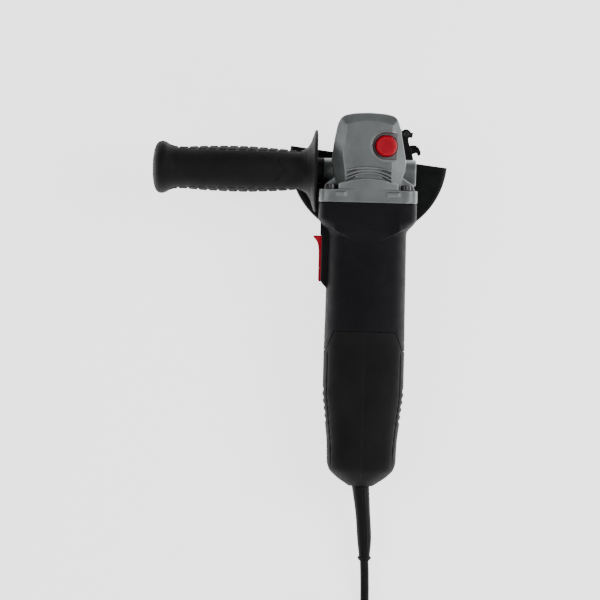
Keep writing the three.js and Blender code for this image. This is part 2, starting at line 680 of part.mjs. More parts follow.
function guardShell() {
  const sheet = GUARD_SHEET;
  const full = turned(
    [
      [NECK_RADIUS + 0.6, GUARD_TOP], [GUARD_RADIUS - 1.5, GUARD_TOP], [GUARD_RADIUS, GUARD_TOP - 1.5],
      [GUARD_RADIUS, GUARD_RIM], [GUARD_RADIUS - 4, GUARD_RIM], [GUARD_RADIUS - 4, GUARD_RIM + 1.4],
      [GUARD_RADIUS - sheet, GUARD_RIM + 1.4], [GUARD_RADIUS - sheet, GUARD_TOP - sheet],
      [NECK_RADIUS + 0.6, GUARD_TOP - sheet], [NECK_RADIUS + 0.6, GUARD_TOP],
    ],
    "z",
    60,
  );
  return full.intersect(rotatedZ(block([-80, 80], [-80, 1.5], [-70, -30]), GUARD_TURN));
}

function guardBand() {
  const band = ring([NECK_RADIUS + GAP, NECK_RADIUS + 2.3], "z", [GUARD_TOP + GAP, -32], 40);
  const slot = block([15.5, 18.9], [0, 30], [-45, -30]);
  const ears = [
    block([13, 15.5], [17, 28.6], [GUARD_TOP + GAP, -32]),
    block([18.9, 21.3], [9.6, 28.6], [GUARD_TOP + GAP, -32]),
  ];
  const hole = rod(2.5, "x", [8, 30], [EYE[1], BOLT_Z], 12);
  return rotatedZ(cut(join(cut(band, slot), ...ears), hole), BOLT_LEAN);
}

function clampBolt() {
  const made = join(
    rod(2.2, "x", [12, EYE[0] + 5.5], [EYE[1], BOLT_Z], 12),
    prism(circle(3.2, [EYE[1], BOLT_Z], 6), "x", [9.8, 12.7]),
    rod(3.2, "z", [BOLT_Z - 2.2, BOLT_Z + 2.2], EYE, 16),
  );
  const hole = rod(1.8, "z", [-50, -25], LEVER_AXIS, 12);
  return cut(rotatedZ(made, BOLT_LEAN), hole);
}

const leverPin = () => rod(1.5, "z", [-42.4, -32.2], LEVER_AXIS, 12);

// The lever is a bar with a forked end round the bolt's eye, and a hooked finger tab.
function guardLever() {
  const bar = [
    [26.4, 22.8], [28.2, 24.2], [30.6, 24.2], [31.7, 14.5], [36, 0], [34.6, -1], [28.4, -1], [27.4, 0], [25.9, 11],
    [25.8, 18],
  ];
  const tab = [
    [31, 4], [31.6, 10.8], [35, 11.8], [37.7, 11.5], [40.2, 9.5], [41.7, 6.2], [41.6, 4], [40.2, 3.1],
    [39, 3.6], [38.8, 5.2], [37.4, 5.6], [35.8, 4.6],
  ];
  const eye = rod(3.9, "z", [-42, -32.6], LEVER_AXIS, 20);
  const made = join(prism(bar, "z", [-42, -32.6]), prism(tab, "z", [-41, -33.6]), eye);
  return cut(
    made,
    rod(8.6, "z", [BOLT_Z - 2.6, BOLT_Z + 2.6], LEVER_AXIS, 20),
    rod(1.8, "z", [-50, -25], LEVER_AXIS, 12),
  );
}

// ---------------------------------------------------------------- side handle

function handleGrip() {
  const outline = [
    [0, -173], [7, -172.7], [14, -171], [19.4, -168.4], [21, -165.4], [20.6, -163], [18.4, -159.4], [17.2, -155.6],
    [16.8, -148], [17.8, -132], [18.4, -112], [18.4, -96], [17.6, -80], [16.4, -64], [15.5, -57], [16.2, -52.5],
    [18.6, -49], [23, -46.4], [29, -44.4], [32.4, -43.3], [33, -42.2], [32.4, -41.2], [29, -40.8], [10.5, -40.8],
    [10.5, SOCKET_LEFT - GAP], [STUD_RADIUS + 0.35, SOCKET_LEFT - GAP], [STUD_RADIUS + 0.35, -41], [6.3, -41],
    [6.3, -58.3], [0, -58.3],
  ];
  return turned(outline, "x", 24).translate([0, ...SOCKET]);
}

function handleStud() {
  const outline = [
    [0, -25.4], [STUD_RADIUS - 0.8, -25.4], [STUD_RADIUS, -26.2], [STUD_RADIUS, -41.3], [6, -41.3], [6, -58], [0, -58],
  ];
  return turned(outline, "x", 12).translate([0, ...SOCKET]);
}

// ---------------------------------------------------------------- cord

const bend = (y) => BOOT_BEND * (Math.max(0, -262.5 - y) / (-262.5 - BOOT_END)) ** 1.4;

function cordBoot() {
  const outline = [
    [0, -252.5], [10, -252.5], [10, -256.3], [7, -256.3], [7, -264], [6.8, -266], [6.2, -288], [5.7, -306.5],
    [4.6, -317.4], [5.5, -318.2], [5.5, -320.3], [4.9, BOOT_END], [0, BOOT_END],
  ];
  const straight = turned(outline, "y", 16);
  return shaped(geometryOf(straight), (x, y, z) => [x + bend(y), y, z]);
}

function cordClamp() {
  return cut(block([-9, 9], [-248, -240], [-7, 3]), rod(CORD_RADIUS + GAP, "y", [-250, -238], [0, 0], 12));
}

function cordTube() {
  const path = new THREE.CatmullRomCurve3(CORD_ROUTE.map((point) => new THREE.Vector3(...point)));
  const shape = new THREE.Shape(circle(CORD_RADIUS, [0, 0], 10).map(([u, v]) => new THREE.Vector2(u, v)));
  return solid(new THREE.ExtrudeGeometry(shape, { steps: 10, bevelEnabled: false, extrudePath: path }));
}

// The outer shape of the coil, and the short straight end that leads from it into the plug.
function cordCoil() {
  const { centre, inner, outer, height } = COIL;
  const soft = 2.6;
  const outline = [
    [inner + soft, 0], [outer - soft, 0], [outer, soft], [outer, height - soft], [outer - soft, height],
    [inner + soft, height], [inner, height - soft], [inner, soft], [inner + soft, 0],
  ];
  const [x, y, z] = PLUG.at;
  const end = rod(CORD_RADIUS, "x", [x + GAP, centre[0]], [y, z], 10);
  return join(turned(outline, "z", 32).translate([...centre, 0]), end);
}

// The plug lies along -X from where the cord enters it.
function plugBody() {
  const stations = [
    [0, 4.6, 4.6, -4.6, 2], [-12, 5.4, 5.4, -5.4, 2], [-17, 6.4, 6.4, -6.4, 2], [-20, 11, 9.5, -9.5, 2.4],
    [-26, 16.4, 12.6, -12.6, 2.8], [-34, 17.8, 13.6, -13.6, 3], [-PLUG.length, 17.2, 13.2, -13.2, 3],
  ];
  return loft(stations, 28).rotate([0, 0, -90]).translate(PLUG.at);
}

function plugPin(side) {
  const [x, y, z] = PLUG.at;
  const face = x - PLUG.length;
  return rod(2.4, "x", [face - GAP - PLUG.pin, face - GAP], [y + side * PLUG.spacing, z], 12);
}

// ---------------------------------------------------------------- materials

const material = (color, roughness, metalness = 0) => new THREE.MeshStandardMaterial({ color, roughness, metalness });
const castAluminium = material(0x747a7b, 0.5, 0.8);
const blackPlastic = material(0x1b1b1f, 0.55);
const gripPlastic = material(0x202022, 0.65);
const redPlastic = material(0xb4141c, 0.4);
const blackSteel = material(0x101112, 0.4, 0.6);
const brightSteel = material(0x9a9c9e, 0.3, 1);
const toolSteel = material(0x55585a, 0.4, 1);
const laminations = material(0x4a4a4c, 0.6, 0.8);
const copper = material(0xa45a2c, 0.4, 1);
const brass = material(0xb08d45, 0.35, 1);
const carbon = material(0x222222, 0.8);
const bronze = material(0x8a6236, 0.45, 1);
const innerPlastic = material(0x3a3a3e, 0.6);
const rubber = material(0x161618, 0.75);

// ---------------------------------------------------------------- assembly

function mesh(name, made, look) {
  const one = new THREE.Mesh(geometryOf(made), look);
  one.name = name;
  return one;
}

function group(...members) {
  const made = new THREE.Group();
  made.add(...members);
  return made;
}

const gearHead = group(
  mesh("gear_housing", gearHousing(), castAluminium),
  mesh("bearing_cover", bearingCover(), castAluminium),
  ...COVER_SCREWS.map((at, i) => mesh("cover_screw_" + (i + 1), coverScrew(at), toolSteel)),
  ...HEAD_SCREWS.map((at, i) => mesh("head_screw_" + (i + 1), headScrew(at), toolSteel)),
  mesh("lock_button", lockButton(), redPlastic),
  mesh("lock_pin", lockPin(), toolSteel),
  mesh("lock_spring", lockSpring(), brightSteel),
);

const drive = group(
  mesh("spindle", spindle(), brightSteel),
  mesh("crown_gear", crownGear(), toolSteel),
  mesh("spindle_bearing", bearing([SPINDLE_RADIUS + GAP, 16], "z", [-28.5, -18.5]), brightSteel),
  mesh("spindle_bush", ring([SPINDLE_RADIUS + GAP, 8], "z", [6, 14], 24), bronze),
  mesh("inner_flange", innerFlange(), brightSteel),
  mesh("clamp_nut", clampNut(), brightSteel),
);

const motor = group(
  mesh("pinion", pinion(), toolSteel),
  mesh("armature_shaft", armatureShaft(), toolSteel),
  mesh("armature_core", armatureCore(), laminations),
  mesh("armature_winding", armatureWinding(), copper),
  mesh("commutator", commutator(), copper),
  mesh("fan", fan(), innerPlastic),
  mesh("front_bearing", bearing([SHAFT_RADIUS + GAP, 11], "y", [-34.5, -27.5]), brightSteel),
  mesh("rear_bearing", bearing([SHAFT_RADIUS + GAP, 9.5], "y", [SHAFT_BACK + 1, SHAFT_BACK + 8]), brightSteel),
  mesh("stator_core", ring([17.8, BORE - GAP], "y", CORE, 36), laminations),
  mesh("field_coil_front", ring([18.5, 26], "y", [CORE[1] + GAP, CORE[1] + 10]), copper),
  mesh("field_coil_rear", ring([18.5, 26], "y", [CORE[0] - 10, CORE[0] - GAP]), copper),
  mesh("air_baffle", ring([20, BORE - GAP], "y", [-61, -59]), innerPlastic),
  mesh("bearing_bracket", bearingBracket(), innerPlastic),
);

const brushes = group(
  ...[[-1, "left"], [1, "right"]].flatMap(([side, name]) => [
    mesh("brush_" + name, brush(side), carbon),
    mesh("brush_holder_" + name, brushHolder(side), brass),
    mesh("brush_spring_" + name, brushSpring(side), brightSteel),
  ]),
);

const body = group(
  mesh("motor_housing", motorHousing(), blackPlastic),
  mesh("rear_cover_left", rearCover(-1), blackPlastic),
  mesh("rear_cover_right", rearCover(1), blackPlastic),
  ...REAR_SCREWS.map((at, i) => mesh("rear_screw_" + (i + 1), rearScrew(at), toolSteel)),
  mesh("switch_slider", switchSlider(), redPlastic),
  mesh("switch_rod", switchRod(), innerPlastic),
  mesh("switch_block", switchBlock(), innerPlastic),
  mesh("cord_boot", cordBoot(), rubber),
  mesh("cord_clamp", cordClamp(), innerPlastic),
);

const guard = group(
  mesh("guard_shell", guardShell(), blackSteel),
  mesh("guard_band", guardBand(), blackSteel),
  mesh("clamp_bolt", clampBolt(), blackSteel),
  mesh("lever_pin", leverPin(), brightSteel),
  mesh("guard_lever", guardLever(), blackSteel),
);

const sideHandle = group(
  mesh("handle_grip", handleGrip(), gripPlastic),
  mesh("handle_stud", handleStud(), brightSteel),
);

const tool = group(gearHead, drive, motor, brushes, body, guard, sideHandle);
tool.rotation.x = THREE.MathUtils.degToRad(TILT);
tool.position.set(...ORIGIN);

const cord = group(
  mesh("cord_tube", cordTube(), rubber),
  mesh("cord_coil", cordCoil(), rubber),
  mesh("plug_body", plugBody(), rubber),
  mesh("plug_pin_1", plugPin(1), brightSteel),
  mesh("plug_pin_2", plugPin(-1), brightSteel),
);

const grinder = group(tool, cord);

export default grinder;
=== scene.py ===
"""The looks of a corded angle grinder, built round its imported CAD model.

Shapes are drawn in millimetres in the tool's own frame. Its origin is where the spindle's axis meets the
motor's axis. X points to the free handle socket, Y to the nose and Z away from the wheel. TO_ROW carries them
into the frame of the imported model, in metres. The lead is drawn in that frame at once.
"""
import json
import math

import bmesh
import bpy
import numpy as np
from mathutils import Matrix, Vector


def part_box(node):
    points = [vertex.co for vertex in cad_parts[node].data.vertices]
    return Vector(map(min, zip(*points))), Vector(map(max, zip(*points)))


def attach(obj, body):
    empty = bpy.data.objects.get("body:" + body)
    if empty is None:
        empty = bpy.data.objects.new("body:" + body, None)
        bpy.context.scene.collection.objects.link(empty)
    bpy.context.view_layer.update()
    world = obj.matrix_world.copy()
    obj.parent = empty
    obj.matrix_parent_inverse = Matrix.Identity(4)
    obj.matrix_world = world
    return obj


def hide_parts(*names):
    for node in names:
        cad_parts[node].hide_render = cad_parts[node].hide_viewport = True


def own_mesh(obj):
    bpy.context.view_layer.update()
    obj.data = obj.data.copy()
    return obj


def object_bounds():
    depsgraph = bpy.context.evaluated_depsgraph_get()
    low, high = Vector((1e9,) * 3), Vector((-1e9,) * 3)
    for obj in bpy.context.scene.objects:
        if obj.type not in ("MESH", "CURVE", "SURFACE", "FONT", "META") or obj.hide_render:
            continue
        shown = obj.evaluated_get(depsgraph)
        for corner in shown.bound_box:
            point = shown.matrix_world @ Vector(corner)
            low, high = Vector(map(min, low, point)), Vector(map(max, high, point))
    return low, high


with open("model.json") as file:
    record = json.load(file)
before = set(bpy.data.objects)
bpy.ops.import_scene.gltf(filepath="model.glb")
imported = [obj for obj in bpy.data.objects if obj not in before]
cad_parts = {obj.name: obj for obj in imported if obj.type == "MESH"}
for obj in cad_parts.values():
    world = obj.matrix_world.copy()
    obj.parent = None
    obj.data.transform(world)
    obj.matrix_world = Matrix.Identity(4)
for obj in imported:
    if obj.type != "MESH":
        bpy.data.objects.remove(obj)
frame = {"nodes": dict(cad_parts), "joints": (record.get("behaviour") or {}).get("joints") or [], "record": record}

cad_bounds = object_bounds()

# ---------------- frame and driving dimensions

MM = 0.001
joints = {joint["name"]: joint for joint in frame["joints"]}
UP = Vector(joints["spindle_spin"]["axis"])
NOSE = Vector(joints["armature_spin"]["axis"])
RIGHT = NOSE.cross(UP)
TURN = Matrix((RIGHT, NOSE, UP)).transposed().to_4x4()
TO_ROW = Matrix.Translation(joints["spindle_spin"]["pos_m"]) @ TURN @ Matrix.Scale(MM, 4)

GAP = 0.3  # between pieces that meet
WIDE = 60  # beyond the body on either side, for solids that cut it
TALL = (-50, 50)  # beyond it below and above

THREAD_RADIUS = 6.9
SPINDLE_END = -62.5
SEAT = -52  # Z of the wheel's seat
FLANGE_RADIUS = 19.5
NECK_RADIUS = 21  # of the neck that the guard turns on

HEAD_HALF = 30
HEAD_TOP = 30
HEAD_BOTTOM = -24
HEAD_BACK = -26
HEAD_FLAT = 18.6  # half the width of the head's flat top
HEAD_SCREWS = [(29.8, 27), (-29.8, 27), (-30.4, -27), (30.4, -27)]  # X and Z
JOINT_Y = -36  # where the head meets the motor housing
COVER_BOTTOM = -31
COVER_SCREWS = [(21.5, 20.5), (-21.5, 20.5), (-21.5, -20.5), (21.5, -20.5)]  # X and Y
BUTTON = (13.4, 9.5)
BUTTON_RADIUS = 8.6
WELL_FLOOR = 19.4  # Z of the floor under the button
DOME_RADIUS = 160
DOME_TOP = 34.6
SOCKET = (-11.3, -4)  # Y and Z of both handle sockets
SOCKET_RIGHT = 37.9
SOCKET_LEFT = -36
SOCKET_HOLE = 4.3
BOSS_RADIUS = 10.5

COLLAR_HALF = 39.2
BORE = 28
WALL = 2.4
TAIL = -262.5
COVER_GAP = 0.01  # between the two rear covers
REAR_SCREWS = [(-176, -19), (-236, -15)]  # Y and Z
BOOT_END = -321
BOOT_BEND = 4.5
CORD_RADIUS = 0.0035  # metres, as the lead is

GUARD_RADIUS = 63.44  # a touch under the CAD's, so that the looks stay inside its box
GUARD_TOP = -43
GUARD_RIM = -64
GUARD_SHEET = 1.6
GUARD_LIP = 59.5  # inner radius of the rolled rim
GUARD_TURN = -6.7
BAND_TOP = -32
LEVER_AXIS = (29.5, 20.5)  # X and Y
BOLT_Z = -37.3
BOLT_LEAN = -10


def placed(name, data):
    """A new object in the scene."""
    made = bpy.data.objects.new(name, data)
    bpy.context.scene.collection.objects.link(made)
    return made


# ---------------- camera

AIM = Vector((-52.2, -115, 0))
CAMERA_HEIGHT = 8000
CAMERA_ROLL = math.radians(1.5)
CAMERA_LENS = 600


def add_camera():
    """Far away with a long lens, straight above the tool."""
    data = bpy.data.cameras.new("camera")
    data.lens = CAMERA_LENS
    data.sensor_width = 36
    data.clip_end = 20
    camera = placed("camera", data)
    across = RIGHT * math.cos(CAMERA_ROLL) + NOSE * math.sin(CAMERA_ROLL)
    upward = UP.cross(across)
    turn = Matrix((across, upward, UP)).transposed().to_4x4()
    camera.matrix_world = Matrix.Translation(TO_ROW @ (AIM + Vector((0, 0, CAMERA_HEIGHT)))) @ turn
    bpy.context.scene.camera = camera


add_camera()

# ---------------- solids


def mesh_piece(corners, faces):
    """A closed mesh with merged corners and every face turned outwards."""
    mesh = bpy.data.meshes.new("solid")
    mesh.from_pydata([tuple(corner) for corner in corners], [], faces)
    shape = bmesh.new()
    shape.from_mesh(mesh)
    bmesh.ops.remove_doubles(shape, verts=shape.verts, dist=1e-5)
    bmesh.ops.recalc_face_normals(shape, faces=shape.faces)
    shape.to_mesh(mesh)
    shape.free()
    return placed("solid", mesh)


def through(rings, closed=False):
    """A solid whose skin runs through rings of points, each ring with the same number of points."""
    count = len(rings[0])
    corners = [corner for one in rings for corner in one]
    faces = []
    pairs = [(i, i + 1) for i in range(len(rings) - 1)]
    if closed:
        pairs.append((len(rings) - 1, 0))
    for a, b in pairs:
        for i in range(count):
            j = (i + 1) % count
            faces.append((a * count + i, a * count + j, b * count + j, b * count + i))
    if not closed:
        faces.append(tuple(range(count)))
        faces.append(tuple(range((len(rings) - 1) * count, len(rings) * count)))
    return mesh_piece(corners, faces)


AXIS_ORDER = {"x": (2, 0, 1), "y": (0, 2, 1), "z": (0, 1, 2)}  # which of u, v and along is x, y and z


def in_axes(axis, u, v, along):
    return tuple((u, v, along)[k] for k in AXIS_ORDER[axis])


def prism(outline, axis, span):
    """An outline of (u, v) points pushed along an axis. u and v are the other two axes, in x, y, z order."""
    return through([[in_axes(axis, u, v, along) for u, v in outline] for along in span])


def block(x, y, z):
    return prism([(x[0], y[0]), (x[1], y[0]), (x[1], y[1]), (x[0], y[1])], "z", z)


def circle(radius, centre=(0, 0), count=48, turn=0.0):
    angles = [turn + i * math.tau / count for i in range(count)]
    return [(centre[0] + radius * math.cos(a), centre[1] + radius * math.sin(a)) for a in angles]


def rod(radius, axis, span, centre=(0, 0), count=48):
    return prism(circle(radius, centre, count), axis, span)


def soft(outline, radius, closed=True, steps=5):
    """The outline with its corners rounded. A point may give its own radius as a third value."""
    made = []
    count = len(outline)
    for i, point in enumerate(outline):
        here = Vector(point[:2])
        own = point[2] if len(point) > 2 else radius
        if own == 0 or (not closed and i in (0, count - 1)):
            made.append(tuple(here))
            continue
        before = Vector(outline[i - 1][:2]) - here
        after = Vector(outline[(i + 1) % count][:2]) - here
        reach = min(own, before.length * 0.48, after.length * 0.48)
        start, end = here + before.normalized() * reach, here + after.normalized() * reach
        for k in range(steps + 1):
            t = k / steps
            made.append(tuple(start.lerp(here, t).lerp(here.lerp(end, t), t)))
    return made


def rounded_rectangle(u, v, radius, steps=8):
    return soft([(u[0], v[0]), (u[1], v[0]), (u[1], v[1]), (u[0], v[1])], radius, steps=steps)


def turned(outline, axis, count=96, radius=0.0):
    """Points (radius, along) turned about an axis. The outline ends on the axis, or it is a closed loop."""
    closed = outline[0][0] > 0
    points = soft(outline, radius, closed) if radius else [point[:2] for point in outline]
    rings = []
    for distance, along in points:
        reach = max(distance, 0)
        rings.append([in_axes(axis, u, v, along) for u, v in circle(reach, (0, 0), count)])
    return through(rings, closed)


def ring(radii, axis, span, count=96):
    inner, outer = radii
    low, high = span
    return turned([(inner, low), (outer, low), (outer, high), (inner, high)], axis, count)


def modified(made, kind, **settings):
    """The piece with one modifier applied."""
    modifier = made.modifiers.new(kind, kind)
    for key, value in settings.items():
        setattr(modifier, key, value)
    graph = bpy.context.evaluated_depsgraph_get()
    mesh = bpy.data.meshes.new_from_object(made.evaluated_get(graph))
    made.modifiers.clear()
    old = made.data
    made.data = mesh
    bpy.data.meshes.remove(old)
    return made


def combined(body, tools, operation):
    """The body with each tool applied to it in turn. The tools are used up."""
    for tool in tools:
        modified(body, "BOOLEAN", object=tool, operation=operation, solver="MANIFOLD")
        bpy.data.objects.remove(tool)
    return body


def join(body, *tools):
    return combined(body, tools, "UNION")


def cut(body, *tools):
    return combined(body, tools, "DIFFERENCE")


def common(body, *tools):
    return combined(body, tools, "INTERSECT")


def cast(made, grain, passes):
    """The piece with every edge softened, as a casting or a moulding has it."""
    modified(made, "REMESH", mode="VOXEL", voxel_size=grain)
    return modified(made, "SMOOTH", factor=0.5, iterations=passes)


def edged(made, width):
    """The piece with a small round on its edges."""
    limit = math.radians(35)
    return modified(made, "BEVEL", width=width, segments=3, limit_method="ANGLE", angle_limit=limit)


def moved(made, matrix):
    made.data.transform(matrix)
    return made


def turned_z(made, degrees):
    """The piece turned about the spindle's axis."""
    return moved(made, Matrix.Rotation(math.radians(degrees), 4, "Z"))


def spread_points(stations, step, ease):
    """Station rows (along, values...) filled in every step and eased over a length."""
    rows = np.array(sorted(stations), float)
    count = int(round((rows[-1, 0] - rows[0, 0]) / step)) + 1
    along = np.linspace(rows[0, 0], rows[-1, 0], count)
    columns = [along]
    width = max(1, int(ease / step) // 2 * 2 + 1)
    for k in range(1, rows.shape[1]):
        line = np.interp(along, rows[:, 0], rows[:, k])
        padded = np.pad(line, width // 2, mode="reflect", reflect_type="odd")
        columns.append(np.convolve(padded, np.ones(width) / width, mode="valid"))
    return np.array(columns).T


def section(half, top, bottom, squareness, count):
    """A closed superellipse outline with its own height above and below the axis."""
    angles = np.arange(count) * math.tau / count
    power = 2 / squareness
    u = np.sign(np.cos(angles)) * np.abs(np.cos(angles)) ** power * half
    rise = np.where(np.sin(angles) > 0, top, -bottom)
    return list(zip(u, rise * np.sign(np.sin(angles)) * np.abs(np.sin(angles)) ** power))


def loft(stations, step, ease, count=160):
    """A body along Y through stations (y, half-width, top, bottom, squareness)."""
    rows = spread_points(stations, step, ease)
    return through([[(u, y, v) for u, v in section(*rest, count)] for y, *rest in rows])


def skin(along, radius_at, axis, count):
    """A closed body through rows (place, scale). Its radius is scale times radius_at(place, angles)."""
    angles = np.arange(count) * math.tau / count
    rings = []
    for place, scale in along:
        reach = radius_at(place, angles) * scale
        corners = zip(reach, angles)
        rings.append([in_axes(axis, r * math.cos(a), r * math.sin(a), place) for r, a in corners])
    return through(rings)


# ---------------- materials


def fill(node, **values):
    """Sets a node's inputs. An underscore in a name stands for a space."""
    for name, value in values.items():
        node.inputs[name.replace("_", " ")].default_value = value


class Look:
    """A material's node tree, with short names for the nodes that the looks below share."""

    def __init__(self, name, color, roughness, metallic=0.0, specular=0.5):
        self.material = bpy.data.materials.new(name)
        self.material.use_nodes = True
        self.tree = self.material.node_tree
        self.shader = self.tree.nodes["Principled BSDF"]
        fill(self.shader, Roughness=roughness, Metallic=metallic, Specular_IOR_Level=specular)
        fill(self.shader, Base_Color=(*color, 1))
        self.place = self.node("ShaderNodeTexCoord").outputs["Object"]

    def node(self, kind, **settings):
        made = self.tree.nodes.new(kind)
        for key, value in settings.items():
            setattr(made, key, value)
        return made

    def link(self, source, target):
        self.tree.links.new(source, target)

    def noise(self, scale, detail=3.0, roughness=0.5, place=None):
        made = self.node("ShaderNodeTexNoise")
        fill(made, Scale=scale, Detail=detail, Roughness=roughness)
        self.link(place or self.place, made.inputs["Vector"])
        return made.outputs["Fac"]

    def stretched(self, scale):
        """Places squeezed along each axis, for brushed or turned marks."""
        made = self.node("ShaderNodeMapping")
        fill(made, Scale=scale)
        self.link(self.place, made.inputs["Vector"])
        return made.outputs["Vector"]

    def between(self, value, low, high, source=(0.3, 0.7)):
        made = self.node("ShaderNodeMapRange")
        fill(made, From_Min=source[0], From_Max=source[1], To_Min=low, To_Max=high)
        self.link(value, made.inputs["Value"])
        return made.outputs["Result"]

    def colors(self, value, *stops):
        made = self.node("ShaderNodeValToRGB")
        ramp = made.color_ramp
        while len(ramp.elements) < len(stops):
            ramp.elements.new(0.5)
        for element, (position, color) in zip(ramp.elements, stops):
            element.position = position
            element.color = (*color, 1)
        self.link(value, made.inputs["Fac"])
        return made.outputs["Color"]

    def color(self, source):
        self.link(source, self.shader.inputs["Base Color"])

    def rough(self, source):
        self.link(source, self.shader.inputs["Roughness"])

    def bumps(self, *layers):
        """Each layer is (height source, distance in metres, strength)."""
        normal = None
        for source, distance, strength in layers:
            made = self.node("ShaderNodeBump")
            fill(made, Distance=distance, Strength=strength)
            self.link(source, made.inputs["Height"])
            if normal:
                self.link(normal, made.inputs["Normal"])
            normal = made.outputs["Normal"]
        self.link(normal, self.shader.inputs["Normal"])
        return self

    def edges(self):
        """From 0 to 1 where the surface turns outwards, along edges and creases, where the looks below paint a
        highlight.
        """
        pointiness = self.node("ShaderNodeNewGeometry").outputs["Pointiness"]
        return self.between(pointiness, 0, 1, (0.5, 0.58))

    def mixed(self, share, first, second):
        """A mix of two colours. The node's sockets for colours have no names of their own."""
        made = self.node("ShaderNodeMix", data_type="RGBA")
        self.link(share, made.inputs["Factor"])
        for value, socket in ((first, made.inputs[6]), (second, made.inputs[7])):
            if isinstance(value, tuple):
                socket.default_value = (*value, 1)
            else:
                self.link(value, socket)
        return made.outputs[2]


def shade(color, times):
    return tuple(min(1.0, part * times) for part in color)


def cast_metal(name, color):
    look = Look(name, color, 0.42, metallic=0.55)
    cloud = look.colors(look.noise(60), (0.35, shade(color, 0.86)), (0.65, shade(color, 1.1)))
    # painted highlight: the colour turns to a light grey along edges and creases
    look.color(look.mixed(look.edges(), cloud, (0.42, 0.43, 0.43)))
    look.rough(look.between(look.noise(900), 0.36, 0.5))
    return look.bumps((look.noise(2600, 4), 0.0001, 0.35), (look.noise(420), 0.0002, 0.2)).material


def moulded(name, color, roughness, grain, depth, specular=0.45):
    """Plastic with a fine spark texture, faint clouds and a painted highlight along its edges."""
    look = Look(name, color, roughness, specular=specular)
    cloud = look.colors(look.noise(35), (0.3, shade(color, 0.82)), (0.7, shade(color, 1.2)))
    # painted highlight: the colour is lightened along edges and creases
    look.color(look.mixed(look.between(look.edges(), 0, 0.5, (0, 1)), cloud, shade(color, 2.2)))
    look.rough(look.between(look.noise(120), roughness - 0.05, roughness + 0.07))
    return look.bumps((look.noise(grain, 2), depth, 0.45), (look.noise(90), 0.0002, 0.12)).material


def coated(name, color):
    look = Look(name, color, 0.34, specular=0.22)
    rubbed = look.between(look.noise(500, 5, 0.7), 0, 1, (0.62, 0.72))
    look.color(look.mixed(rubbed, color, (0.012, 0.0125, 0.0125)))
    look.rough(look.between(look.noise(160), 0.3, 0.44))
    return look.bumps((look.noise(1500, 2), 0.00006, 0.25), (look.noise(220), 0.0002, 0.15)).material


def machined(name, color, roughness, squeeze=(1, 1, 1)):
    look = Look(name, color, roughness, metallic=1.0)
    marks = look.noise(500, 2, place=look.stretched(squeeze))
    look.color(look.colors(marks, (0.3, shade(color, 0.8)), (0.7, shade(color, 1.12))))
    look.rough(look.between(marks, roughness - 0.06, roughness + 0.1))
    return look.bumps((marks, 0.00004, 0.3)).material


def banded(name, color, roughness, metallic, direction, scale, distortion, full_from, *bump):
    """Metal in fine bands, as of wound wire or stacked sheets."""
    look = Look(name, color, roughness, metallic=metallic)
    wave = look.node("ShaderNodeTexWave", bands_direction=direction)
    fill(wave, Scale=scale, Distortion=distortion)
    look.link(look.place, wave.inputs["Vector"])
    bands = wave.outputs["Fac"]
    look.color(look.colors(bands, (0.2, shade(color, 0.5)), (full_from, color)))
    return look.bumps((bands, *bump)).material


# Each look's slot, its maker and what the maker is given after the name, from the colour on.
LOOK_ROWS = [
    ("cast_aluminium", cast_metal, (0.2, 0.214, 0.216)),
    ("black_plastic", moulded, (0.0096, 0.0095, 0.0114), 0.57, 3200, 0.00012, 0.09),
    ("rear_plastic", moulded, (0.0132, 0.0132, 0.0132), 0.6, 3200, 0.00012, 0.07),
    ("grip_plastic", moulded, (0.0118, 0.0118, 0.0118), 0.6, 2400, 0.00016, 0.13),
    ("red_plastic", moulded, (0.46, 0.003, 0.017), 0.45, 2600, 0.00005, 0.22),
    ("black_steel", coated, (0.0042, 0.0047, 0.0047)),
    ("bright_steel", machined, (0.5, 0.5, 0.5), 0.3, (1, 1, 6)),
    ("tool_steel", machined, (0.07, 0.07, 0.073), 0.36),
    ("laminations", banded, (0.09, 0.09, 0.095), 0.5, 0.7, "Y", 300, 0, 0.6, 0.0002, 0.5),
    ("copper", banded, (0.36, 0.13, 0.05), 0.35, 0.8, "DIAGONAL", 700, 2, 0.7, 0.0003, 0.6),
    ("brass", machined, (0.55, 0.36, 0.12), 0.32),
    ("carbon", moulded, (0.02, 0.02, 0.02), 0.6, 2000, 0.0001),
    ("inner_plastic", moulded, (0.03, 0.03, 0.033), 0.5, 2400, 0.0001),
    ("rubber", moulded, (0.0048, 0.0048, 0.005), 0.56, 2000, 0.00008, 0.2),
]
LOOKS = {name: make(name, *values) for name, make, *values in LOOK_ROWS}


def finished(made, name, body, slot, nodes, angle=38):
    """Gives a piece its name, look and body, and lets it stand for CAD nodes."""
    made.name = name
    made.data.name = name
    if made.type == "MESH":
        made.data.shade_smooth()
        made.data.set_sharp_from_angle(angle=math.radians(angle))
    made.data.materials.clear()
    made.data.materials.append(LOOKS[slot])
    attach(made, body)
    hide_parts(*nodes)
    return made


def fitted(made, node, body, slot, angle=38):
    """finished(), for a piece that is drawn in the tool's own frame and stands for one CAD node."""
    return finished(moved(made, TO_ROW), f"{node}_look", body, slot, [node], angle)


# ---------------- the lead

CORD_ROUTE = [  # from the boot down to the floor
    (0.05942, -0.1785, 0.01515),
    (0.05995, -0.188, 0.0133),
    (0.06035, -0.1995, 0.0108),
    (0.0606, -0.212, 0.0077),
    (0.06075, -0.225, 0.005),
    (0.0608, -0.237, 0.00375),
    (0.0608, -0.244, 0.00355),
]
COIL_CENTRE = (0.0158, -0.270)
PLUG_AT = (-0.0125, -0.3152, 0.0138)  # where the lead enters the plug

